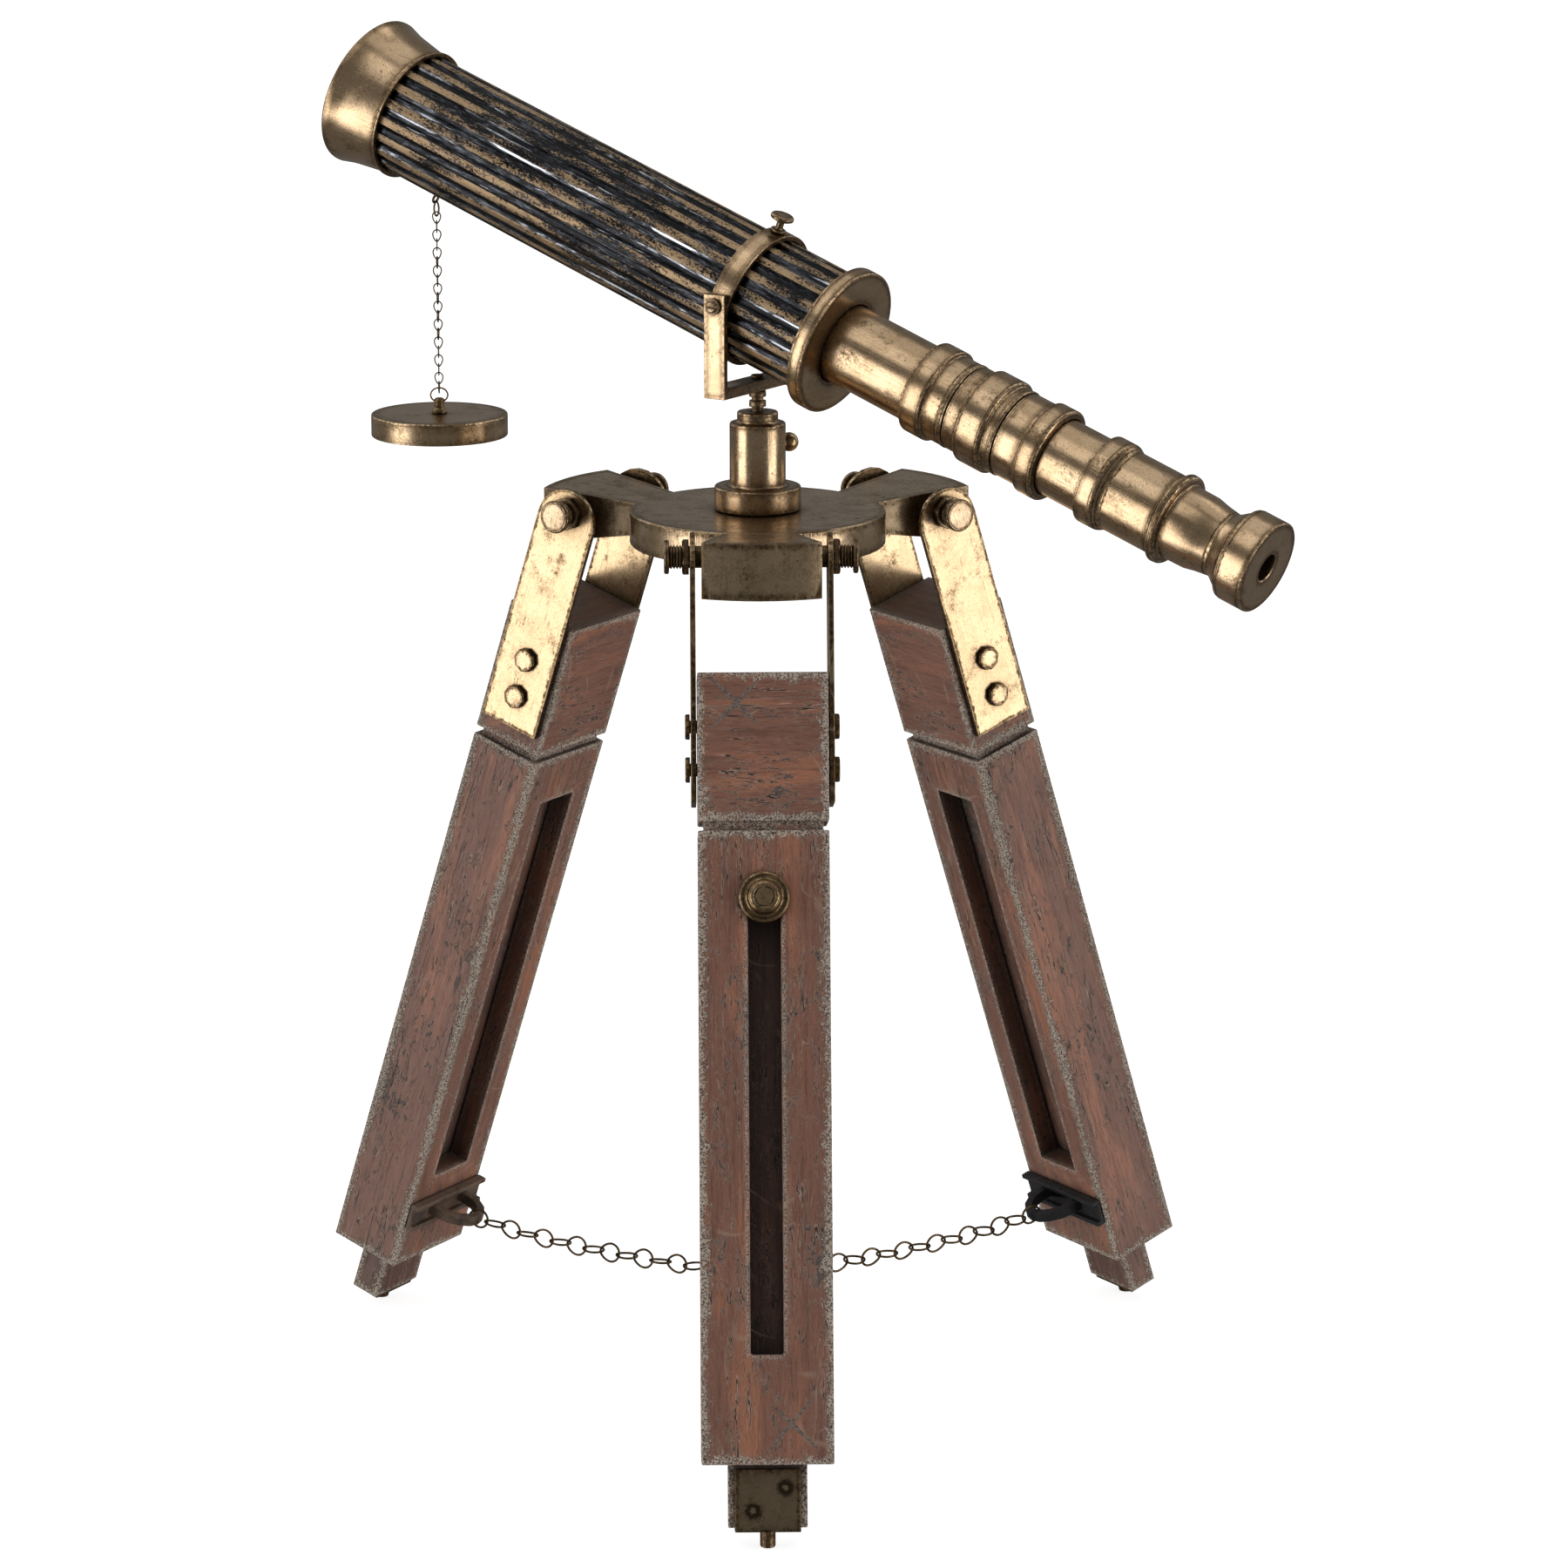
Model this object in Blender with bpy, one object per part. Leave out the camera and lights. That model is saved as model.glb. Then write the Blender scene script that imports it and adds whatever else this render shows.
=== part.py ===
"""Brass telescope on a folding wooden tripod.

Metres, +Z up, the origin at floor level under the middle of the whole object. Every dimension
below is given in leg widths, and LEG_WIDTH sets the real size. The front leg points to -Y.
"""

from math import atan2, ceil, cos, pi, radians, sin, tau

import bmesh
import bpy
from mathutils import Matrix, Vector

LEG_WIDTH = 0.040
GAP = 0.0078

# Where the tripod's own axis stands, seen from the origin. Every position is given from it.
AXIS = (-0.2160, 0.6383, 0.0)

# Heights above the floor and main directions.
HEAD_TOP = 7.242
PIVOT_TOP = HEAD_TOP + 1.6975
TUBE_AZIMUTH = radians(-34.48)
TUBE_RISE = radians(20.0)

# Tripod legs: azimuth of each, the splay from plumb and where the hinge sits.
LEGS = {"front": radians(-90.0), "right": radians(33.05), "left": radians(146.95)}
SPLAY = radians(18.34)
HINGE_RADIUS = 1.446
HINGE_DROP = 0.092

# Leg section, across and through, and stations down the leg from the hinge.
LEG_HALF_WIDE = 0.5
LEG_HALF_DEEP = 0.315
BLOCK_TOP, BLOCK_END, BOX_TOP, BOX_END = 0.92, 2.056, 2.126, 6.913
CHANNEL_HALF = (0.31, 0.13)
CHANNEL_TOP = 2.22
SLOT_TOP = 2.55
OUTER_SLOT = (0.125, 6.087)
INNER_SLOT = (0.235, 6.10)
BOARD_HALF = (0.30, 0.12)
BOARD_TOP, BOARD_END = 2.27, 7.392
KNOB_STATION = 2.637
STRAP_INNER, STRAP_OUTER = 0.5078, 0.5475
STRAP_HALF = 0.27
STRAP_BOLTS = {"upper": 1.31, "lower": 1.64}
BRACKET_TOP, BRACKET_END = 6.30, 6.53
LOOP_STATION = 6.40

# Telescope stations along the tube from the tilt axis, towards the eyepiece.
RIBS = 21
RIB_TOP, RIB_VALLEY = 0.5045, 0.486
TUBE_FRONT, TUBE_REAR = -3.54, 0.7822
BORE = 0.455
CHAIN_REACH = 3.125
CHAIN_TOP = HEAD_TOP + 2.182
BAIL_TOP = HEAD_TOP + 0.6845

COLOURS = {
    "brass": ((0.60, 0.44, 0.23), 0.32, 1.0),
    "dark_brass": ((0.22, 0.15, 0.07), 0.45, 1.0),
    "fluted": ((0.035, 0.033, 0.030), 0.35, 0.6),
    "wood": ((0.235, 0.105, 0.065), 0.60, 0.0),
    "dark_wood": ((0.085, 0.045, 0.030), 0.65, 0.0),
    "bronze": ((0.14, 0.10, 0.055), 0.50, 0.9),
    "rusty_iron": ((0.17, 0.115, 0.085), 0.75, 0.5),
    "black_iron": ((0.03, 0.03, 0.03), 0.55, 0.6),
    "chain_brass": ((0.13, 0.09, 0.05), 0.45, 1.0),
    "glass": ((0.80, 0.86, 0.88), 0.05, 0.0),
}


def clear_scene():
    for obj in list(bpy.data.objects):
        bpy.data.objects.remove(obj, do_unlink=True)


def material(name):
    found = bpy.data.materials.get(name)
    if found:
        return found
    colour, roughness, metallic = COLOURS[name]
    made = bpy.data.materials.new(name)
    made.use_nodes = True
    shader = made.node_tree.nodes["Principled BSDF"]
    shader.inputs["Base Color"].default_value = (*colour, 1.0)
    shader.inputs["Roughness"].default_value = roughness
    shader.inputs["Metallic"].default_value = metallic
    made.diffuse_color = (*colour, 1.0)
    return made


def frame(origin, x, y, z):
    """The matrix of a local frame, with its origin in leg widths."""
    rows = [(x[i], y[i], z[i], (origin[i] + AXIS[i]) * LEG_WIDTH) for i in range(3)]
    return Matrix(rows + [(0.0, 0.0, 0.0, 1.0)])


def mesh_from(bm, name):
    """A mesh in metres from a bmesh in leg widths, with its faces pointing out."""
    bmesh.ops.remove_doubles(bm, verts=bm.verts, dist=1e-5)
    bmesh.ops.recalc_face_normals(bm, faces=bm.faces)
    bmesh.ops.scale(bm, vec=(LEG_WIDTH,) * 3, verts=bm.verts)
    mesh = bpy.data.meshes.new(name)
    bm.to_mesh(mesh)
    bm.free()
    return mesh


def place(name, mesh, colour, matrix, smooth=True):
    """One named part, with its origin at the local frame's origin."""
    obj = bpy.data.objects.new(name, mesh)
    bpy.context.scene.collection.objects.link(obj)
    obj.matrix_world = matrix
    if not mesh.materials:
        mesh.materials.append(material(colour))
    if smooth:
        mesh.shade_smooth()
        mesh.set_sharp_from_angle(angle=radians(32))
    return obj


def helper(mesh):
    """An object that only shapes others, so it is never part of the model."""
    obj = bpy.data.objects.new("helper", mesh)
    bpy.context.scene.collection.objects.link(obj)
    obj.hide_render = True
    obj.display_type = "WIRE"
    return obj


def combined(mesh, others, operation):
    """The mesh with the others cut away or joined on, all in the same local frame."""
    base = helper(mesh)
    tools = [helper(other) for other in others]
    for tool in tools:
        step = base.modifiers.new("shape", "BOOLEAN")
        step.operation = operation
        step.object = tool
        step.solver = "EXACT"
    bpy.context.view_layer.update()
    result = bpy.data.meshes.new_from_object(
        base.evaluated_get(bpy.context.evaluated_depsgraph_get())
    )
    for obj in [base] + tools:
        bpy.data.objects.remove(obj, do_unlink=True)
    return result


def cut(mesh, *others):
    return combined(mesh, others, "DIFFERENCE")


def joined(mesh, *others):
    return combined(mesh, others, "UNION")


def side_radius(radius, sides, angle):
    """The outline's radius at an angle: a circle, or a polygon with that many flats."""
    if not sides:
        return radius
    step = tau / sides
    return radius * cos(step / 2) / cos(angle % step - step / 2)


def rod(rings, steps=24, centre=(0.0, 0.0), turn=0.0):
    """A solid bar along Z. Each ring is (radius, z) or (radius, z, flats)."""
    bm = bmesh.new()
    loops = []
    for radius, z, *sides in rings:
        loop = []
        for k in range(steps):
            angle = tau * k / steps
            r = side_radius(radius, sides[0] if sides else 0, angle)
            loop.append(
                bm.verts.new(
                    (centre[0] + r * cos(angle + turn), centre[1] + r * sin(angle + turn), z)
                )
            )
        loops.append(loop)
    for low, high in zip(loops, loops[1:]):
        for k in range(steps):
            n = (k + 1) % steps
            bm.faces.new((low[k], low[n], high[n], high[k]))
    bm.faces.new(list(reversed(loops[0])))
    bm.faces.new(loops[-1])
    return mesh_from(bm, "rod")


def ring(profile, steps=32):
    """A hollow turned piece: the closed (radius, z) outline spun about Z."""
    bm = bmesh.new()
    points = [bm.verts.new((r, 0.0, z)) for r, z in profile]
    edges = [bm.edges.new((a, b)) for a, b in zip(points, points[1:] + points[:1])]
    bmesh.ops.spin(
        bm,
        geom=points + edges,
        axis=(0.0, 0.0, 1.0),
        cent=(0.0, 0.0, 0.0),
        angle=tau,
        steps=steps,
        use_merge=True,
    )
    return mesh_from(bm, "ring")


def box(low, high):
    bm = bmesh.new()
    bmesh.ops.create_cube(bm, size=1.0)
    size = [h - l for l, h in zip(low, high)]
    middle = [(h + l) / 2 for l, h in zip(low, high)]
    bmesh.ops.scale(bm, vec=size, verts=bm.verts)
    bmesh.ops.translate(bm, vec=middle, verts=bm.verts)
    return mesh_from(bm, "box")


def prism(outline, low, high, plane="xy"):
    """A flat outline pushed along the axis that its plane leaves free."""
    spots = {
        "xy": lambda a, b, c: (a, b, c),
        "yz": lambda a, b, c: (c, a, b),
        "xz": lambda a, b, c: (a, c, b),
    }[plane]
    bm = bmesh.new()
    face = bm.faces.new([bm.verts.new(spots(a, b, low)) for a, b in outline])
    pushed = bmesh.ops.extrude_face_region(bm, geom=[face])
    verts = [v for v in pushed["geom"] if isinstance(v, bmesh.types.BMVert)]
    bmesh.ops.translate(bm, vec=spots(0.0, 0.0, high - low), verts=verts)
    return mesh_from(bm, "prism")


def sideways(mesh, axis="X"):
    """Turns a mesh made along Z so that it lies along X or Y."""
    turn = Matrix.Rotation(pi / 2, 4, "Y") if axis == "X" else Matrix.Rotation(-pi / 2, 4, "X")
    mesh.transform(turn)
    return mesh


def moved(mesh, x=0.0, y=0.0, z=0.0):
    mesh.transform(Matrix.Translation(Vector((x, y, z)) * LEG_WIDTH))
    return mesh


def wire_loop(points, half_wide, half_high, closed, flat_axis):
    """A bar swept along a route in a plane, with a section square to the route."""
    bm = bmesh.new()
    up = Vector(flat_axis)
    count = len(points)
    loops = []
    for k in range(count):
        here = Vector(points[k])
        before = Vector(points[k - 1] if closed or k else points[k])
        after = Vector(points[(k + 1) % count] if closed or k < count - 1 else points[k])
        out = (after - before).normalized().cross(up)
        loops.append(
            [
                bm.verts.new(here + out * half_wide * a + up * half_high * b)
                for a, b in ((1, 1), (-1, 1), (-1, -1), (1, -1))
            ]
        )
    pairs = list(zip(loops, loops[1:] + loops[:1]))
    for low, high in pairs if closed else pairs[:-1]:
        for k in range(4):
            n = (k + 1) % 4
            bm.faces.new((low[k], low[n], high[n], high[k]))
    if not closed:
        bm.faces.new(list(reversed(loops[0])))
        bm.faces.new(loops[-1])
    return mesh_from(bm, "bar")


def torus(major_x, major_z, minor, steps=16, sides=6, centre=(0.0, 0.0, 0.0)):
    """A round or oval wire ring standing in the local XZ plane."""
    bm = bmesh.new()
    loops = []
    for k in range(steps):
        a = tau * k / steps
        middle = Vector((major_x * cos(a), 0.0, major_z * sin(a)))
        out = Vector((major_z * cos(a), 0.0, major_x * sin(a))).normalized()
        loop = []
        for j in range(sides):
            b = tau * j / sides
            spot = middle + out * minor * cos(b) + Vector((0.0, minor * sin(b), 0.0))
            loop.append(bm.verts.new(Vector(centre) + spot))
        loops.append(loop)
    for low, high in zip(loops, loops[1:] + loops[:1]):
        for k in range(sides):
            n = (k + 1) % sides
            bm.faces.new((low[k], low[n], high[n], high[k]))
    return mesh_from(bm, "torus")


def cord(name, points, thickness):
    """A plain tube with the chain's outer width, along its route in leg widths."""
    curve = bpy.data.curves.new(name, "CURVE")
    curve.dimensions = "3D"
    curve.bevel_depth = thickness / 2 * LEG_WIDTH
    curve.bevel_resolution = 2
    curve.use_fill_caps = True
    spline = curve.splines.new("POLY")
    spline.points.add(len(points) - 1)
    for spot, point in zip(spline.points, points):
        spot.co = (*((Vector(point) + Vector(AXIS)) * LEG_WIDTH), 1.0)
    curve.materials.append(material("chain_brass"))
    obj = bpy.data.objects.new(name, curve)
    bpy.context.scene.collection.objects.link(obj)
    return obj


def disc_outline(radius, start, end, count, centre=(0.0, 0.0)):
    angles = [start + (end - start) * k / (count - 1) for k in range(count)]
    return [(centre[0] + radius * cos(a), centre[1] + radius * sin(a)) for a in angles]


# ---------------------------------------------------------------- frames
UP = Vector((0.0, 0.0, 1.0))
HEADING = Vector((cos(TUBE_AZIMUTH), sin(TUBE_AZIMUTH), 0.0))
ACROSS = UP.cross(HEADING)
TUBE_UP = HEADING * sin(TUBE_RISE) + UP * cos(TUBE_RISE)
TUBE_ALONG = HEADING * cos(TUBE_RISE) - UP * sin(TUBE_RISE)
TUBE = frame((0.0, 0.0, PIVOT_TOP), ACROSS, TUBE_UP, TUBE_ALONG)
FORK = frame((0.0, 0.0, PIVOT_TOP), ACROSS, -HEADING, UP)
HEAD = frame((0.0, 0.0, HEAD_TOP), Vector((1, 0, 0)), Vector((0, 1, 0)), UP)


def leg_frame(azimuth, station=0.0, outward=0.0):
    """X runs across the leg, Y out of its outer face and Z down it from the hinge."""
    out = Vector((cos(azimuth), sin(azimuth), 0.0))
    across = UP.cross(out)
    normal = out * cos(SPLAY) + UP * sin(SPLAY)
    down = out * sin(SPLAY) - UP * cos(SPLAY)
    hinge = out * HINGE_RADIUS + UP * (HEAD_TOP - HINGE_DROP)
    return frame(hinge + down * station + normal * outward, across, normal, down)


# ---------------------------------------------------------------- telescope
def fluted_tube():
    """A hollow tube with rounded ribs, and a counterbore at the front for the objective."""
    shape = (
        (-0.5, RIB_VALLEY),
        (-0.33, RIB_VALLEY + 0.001),
        (-0.25, 0.499),
        (-0.10, RIB_TOP),
        (0.10, RIB_TOP),
        (0.25, 0.499),
        (0.33, RIB_VALLEY + 0.001),
    )
    pitch = tau / RIBS
    first = radians(92.0)
    spots = [(first + (k + f) * pitch, r) for k in range(RIBS) for f, r in shape]
    outline = [(r * cos(a), r * sin(a)) for a, r in spots]
    body = prism(outline, TUBE_FRONT, TUBE_REAR)
    seat = -3.46
    bore = rod(((BORE, TUBE_FRONT - 0.1), (BORE, seat), (0.43, seat), (0.43, 1.0)), 42)
    eyelet_hole = rod(((0.0295, 0.0), (0.0295, 0.6)), 12)
    eyelet_hole.transform(Matrix.Rotation(pi / 2, 4, "X"))
    return cut(body, bore, moved(eyelet_hole, z=-3.126))


def telescope():
    place("main_tube", fluted_tube(), "fluted", TUBE)
    bell = (
        (0.548, -3.511),
        (0.548, -3.533),
        (0.530, -3.545),
        (0.5755, -3.83),
        (0.604, -3.945),
        (0.617, -3.99),
        (0.617, -4.006),
        (0.600, -4.020),
        (0.576, -4.020),
        (0.568, -3.985),
        (0.490, -3.62),
        (0.425, -3.60),
        (0.425, -3.548),
        (0.5125, -3.548),
        (0.5125, -3.511),
    )
    place("objective_bell", ring(bell, 32), "brass", TUBE)
    lens = ((0.20, -3.535), (0.35, -3.525), (0.445, -3.5), (0.445, -3.475), (0.35, -3.45), (0.20, -3.44))
    place("objective_lens", rod(lens, 20), "glass", TUBE)

    section = ((0.5125, -0.09), (0.549, -0.09), (0.5565, -0.08), (0.5565, 0.076), (0.549, 0.086), (0.5125, 0.086))
    band = ring(section, 32)
    pivot_hole = sideways(rod(((0.0378, -0.7), (0.0378, 0.7)), 16))
    screw_hole = sideways(rod(((0.0378, 0.4), (0.0378, 0.7)), 16), "Y")
    place("clamp_band", cut(band, pivot_hole, screw_hole), "brass", TUBE)
    thumb = (
        (0.030, 0.518),
        (0.030, 0.565),
        (0.062, 0.565),
        (0.062, 0.583),
        (0.030, 0.588),
        (0.030, 0.655),
        (0.078, 0.662),
        (0.094, 0.676),
        (0.094, 0.694),
        (0.080, 0.706),
        (0.055, 0.700),
        (0.020, 0.696),
    )
    place("band_thumbscrew", sideways(rod(thumb, 16), "Y"), "brass", TUBE)
    eye = torus(0.032, 0.032, 0.0115, 10, 5)
    eye.transform(Matrix.Rotation(pi / 2, 4, "X"))
    eyelet = joined(moved(eye, y=-0.5655), sideways(rod(((0.021, -0.546), (0.021, -0.46)), 10), "Y"))
    place("chain_eyelet", moved(eyelet, z=-3.126), "dark_brass", TUBE)
    flange = (
        (0.580, 0.745),
        (0.594, 0.760),
        (0.594, 0.853),
        (0.584, 0.875),
        (0.3265, 0.875),
        (0.3265, 0.790),
        (0.5125, 0.790),
        (0.5125, 0.745),
    )
    place("end_flange", ring(flange, 32), "brass", TUBE)
    draw = (
        (0.3187, 0.7822),
        (0.3187, 1.742),
        (0.275, 1.742),
        (0.275, 0.62),
        (0.30, 0.62),
        (0.30, 0.66),
        (0.422, 0.66),
        (0.422, 0.7822),
    )
    place("draw_tube", ring(draw, 24), "brass", TUBE)
    socket = (
        (0.366, 1.670),
        (0.377, 1.683),
        (0.377, 1.842),
        (0.366, 1.855),
        (0.348, 1.858),
        (0.348, 2.040),
        (0.353, 2.047),
        (0.348, 2.055),
        (0.298, 2.055),
        (0.298, 1.750),
        (0.3265, 1.750),
        (0.3265, 1.670),
    )
    place("draw_socket", ring(socket, 24), "brass", TUBE)
    erector = ((0.14, 1.865), (0.29, 1.885), (0.29, 1.925), (0.14, 1.945))
    place("erector_lens", rod(erector, 16), "glass", TUBE)
    cell = (
        (0.347, 2.055 + GAP),
        (0.347, 2.180),
        (0.374, 2.187),
        (0.385, 2.200),
        (0.385, 2.412),
        (0.374, 2.425),
        (0.352, 2.430),
        (0.352, 2.508),
        (0.357, 2.516),
        (0.352, 2.525),
        (0.3183, 2.525),
        (0.3183, 2.055 + GAP),
    )
    place("erector_cell", ring(cell, 24), "brass", TUBE)
    focus = (
        (0.3465, 2.525 + GAP),
        (0.3465, 2.752),
        (0.377, 2.757),
        (0.377, 2.905),
        (0.366, 2.918),
        (0.3183, 2.933),
        (0.3183, 2.525 + GAP),
    )
    place("focus_socket", ring(focus, 24), "brass", TUBE)
    eyepiece = ((0.3105, 2.55), (0.3105, 3.44), (0.275, 3.44), (0.275, 2.55))
    place("eyepiece_tube", ring(eyepiece, 24), "brass", TUBE)
    grip = (
        (0.348, 3.315),
        (0.360, 3.328),
        (0.360, 3.470),
        (0.3265, 3.530),
        (0.3265, 3.980),
        (0.255, 3.980),
        (0.255, 3.448),
        (0.3183, 3.448),
        (0.3183, 3.315),
    )
    place("grip_ring", ring(grip, 24), "brass", TUBE)
    cup = (
        (0.352, 3.980 + GAP),
        (0.366, 3.998),
        (0.362, 4.045),
        (0.335, 4.060),
        (0.300, 4.062),
        (0.296, 4.260),
        (0.277, 4.350),
        (0.260, 4.473),
        (0.275, 4.510),
        (0.350, 4.610),
        (0.370, 4.625),
        (0.371, 4.840),
        (0.352, 4.865),
        (0.090, 4.865),
        (0.090, 4.640),
        (0.210, 4.640),
        (0.210, 4.200),
        (0.250, 4.120),
        (0.250, 3.980 + GAP),
    )
    peep = rod(((0.106, 4.6, 8), (0.106, 5.0, 8)), 8, turn=radians(12))
    place("eyecup", cut(ring(cup, 24), peep), "brass", TUBE)
    eye = ((0.10, 4.545), (0.202, 4.56), (0.202, 4.59), (0.10, 4.605))
    place("eye_lens", rod(eye, 14), "glass", TUBE)


# ---------------------------------------------------------------- lens cap
def lens_cap():
    spot = -HEADING * CHAIN_REACH
    top = HEAD_TOP + 0.471
    cap_frame = frame(spot + UP * top, ACROSS, -HEADING, UP)
    bail_frame = frame(spot + UP * BAIL_TOP, ACROSS, -HEADING, UP)
    cup = (
        (0.550, -0.181),
        (0.560, -0.172),
        (0.560, -0.010),
        (0.550, 0.0),
        (0.033, 0.0),
        (0.033, -0.035),
        (0.525, -0.035),
        (0.525, -0.181),
    )
    place("lens_cap", ring(cup, 32), "brass", cap_frame)
    drop = HEAD_TOP + 0.471 - BAIL_TOP
    post = (
        (0.050, drop - 0.060),
        (0.050, drop - 0.035 - GAP),
        (0.0255, drop - 0.035 - GAP),
        (0.0255, drop + GAP),
        (0.066, drop + GAP),
        (0.062, drop + 0.030),
        (0.0425, drop + 0.042),
        (0.0425, drop + 0.115),
        (0.034, drop + 0.127),
    )
    bail = torus(0.051, 0.0535, 0.011, 14, 5, (0.0, 0.0, -0.0645))
    place("cap_post", joined(rod(post, 12), bail), "dark_brass", bail_frame)
    low = BAIL_TOP + GAP
    points = [spot + UP * (low + (CHAIN_TOP - low) * k / 10) for k in range(11)]
    cord("cap_chain", points, 0.06)


# ---------------------------------------------------------------- yoke and column
def fork_and_column():
    foot = -0.7295
    arm, top = 0.0966, 0.0925
    outline = (
        (-0.6125, foot),
        (0.6125, foot),
        (0.6125, top),
        (0.5665, top),
        (0.5665, foot + 0.086),
        (-0.5665, foot + 0.086),
        (-0.5665, top),
        (-0.6125, top),
    )
    fork = prism(outline, -arm, arm, "xz")
    across = sideways(rod(((0.0378, -0.8), (0.0378, 0.8)), 16))
    down = rod(((0.0378, -0.9), (0.0378, -0.5)), 16)
    place("yoke", cut(fork, across, down), "brass", FORK, smooth=False)
    screw = (
        (0.030, 0.519),
        (0.030, 0.6205),
        (0.066, 0.6205),
        (0.066, 0.635),
        (0.048, 0.637),
        (0.048, 0.660),
        (0.040, 0.668),
    )
    slot = box((0.645, -0.06, -0.008), (0.70, 0.06, 0.008))
    right = cut(sideways(rod(screw, 12)), slot)
    left = right.copy()
    left.transform(Matrix.Rotation(pi, 4, "Z"))
    place("pivot_screw_right", right, "dark_brass", FORK)
    place("pivot_screw_left", left, "dark_brass", FORK)

    base = HEAD_TOP - PIVOT_TOP
    stem = (
        (0.0465, base + 0.42),
        (0.0465, base + 0.8255),
        (0.068, base + 0.8255),
        (0.068, base + 0.874),
        (0.0465, base + 0.876),
        (0.0465, base + 0.903),
        (0.068, base + 0.905),
        (0.068, base + 0.950),
        (0.052, base + 0.9602),
        (0.030, base + 0.9602),
        (0.030, base + 1.0618),
        (0.056, base + 1.0618),
        (0.050, base + 1.080),
    )
    place("pan_stem", rod(stem, 14), "dark_brass", FORK)
    column = (
        (0.343, GAP),
        (0.343, 0.180),
        (0.330, 0.194),
        (0.2225, 0.197),
        (0.2225, 0.690),
        (0.212, 0.700),
        (0.163, 0.703),
        (0.163, 0.780),
        (0.152, 0.788),
        (0.0545, 0.788),
        (0.0545, 0.38),
        (0.035, 0.36),
        (0.035, GAP),
    )
    azimuth = radians(38.0)
    knob = (
        (0.030, 0.08),
        (0.030, 0.232),
        (0.045, 0.236),
        (0.045, 0.255),
    )
    ball = tuple((0.077 * cos(a), 0.320 + 0.077 * sin(a)) for a in [radians(-48 + 23 * k) for k in range(6)])
    side = Matrix.Rotation(azimuth, 4, "Z")
    hole = sideways(rod(((0.0378, 0.0), (0.0378, 0.4)), 16))
    hole.transform(side)
    place("column", cut(ring(column, 24), moved(hole, z=0.505)), "brass", HEAD)
    out = Vector((cos(azimuth), sin(azimuth), 0.0))
    knob_frame = frame((0.0, 0.0, HEAD_TOP + 0.505), UP.cross(out), UP, out)
    place("column_knob", rod(knob + ball, 14), "dark_brass", knob_frame)


# ---------------------------------------------------------------- tripod head
def arm_wedge(azimuth):
    """An arm that widens, rises above the plate and drops below it towards its curved end."""
    bm = bmesh.new()
    inner, outer, count = 0.90, 1.791, 9
    slope = (0.461 - 0.291) / (outer - 1.015)
    half_inner = 0.291 + slope * (inner - 1.015)
    spread = atan2(0.461, 1.7307)
    rows = [(inner, -half_inner), (inner, half_inner)]
    turns = [spread * (1 - 2 * k / (count - 1)) for k in range(count)]
    rows += [(outer * cos(a), outer * sin(a)) for a in turns]
    loops = []
    for side in (1, -1):
        loop = []
        for x, y in rows:
            far = (x - inner) / (outer - inner)
            z = (-0.012 + 0.094 * far) if side == 1 else (-0.255 - 0.117 * far)
            loop.append(bm.verts.new((x, y, z)))
        loops.append(loop)
    top, low = loops
    bm.faces.new(top)
    bm.faces.new(list(reversed(low)))
    for k in range(len(rows)):
        n = (k + 1) % len(rows)
        bm.faces.new((top[k], top[n], low[n], low[k]))
    bmesh.ops.triangulate(bm, faces=[f for f in bm.faces if len(f.verts) > 4])
    mesh = mesh_from(bm, "arm")
    bolt = rod(((0.093, -0.8), (0.093, 0.8)), 14)
    bolt.transform(Matrix.Rotation(pi / 2, 4, "X"))
    mesh = cut(mesh, moved(bolt, HINGE_RADIUS, 0.0, -HINGE_DROP))
    mesh.transform(Matrix.Rotation(azimuth, 4, "Z"))
    return mesh


def tripod_head():
    plate = rod(((1.003, -0.267), (1.015, -0.255), (1.015, -0.012), (1.003, 0.0)), 48)
    arms = [arm_wedge(azimuth) for azimuth in LEGS.values()]
    place("tripod_head", joined(plate, *arms), "brass", HEAD)


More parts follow.
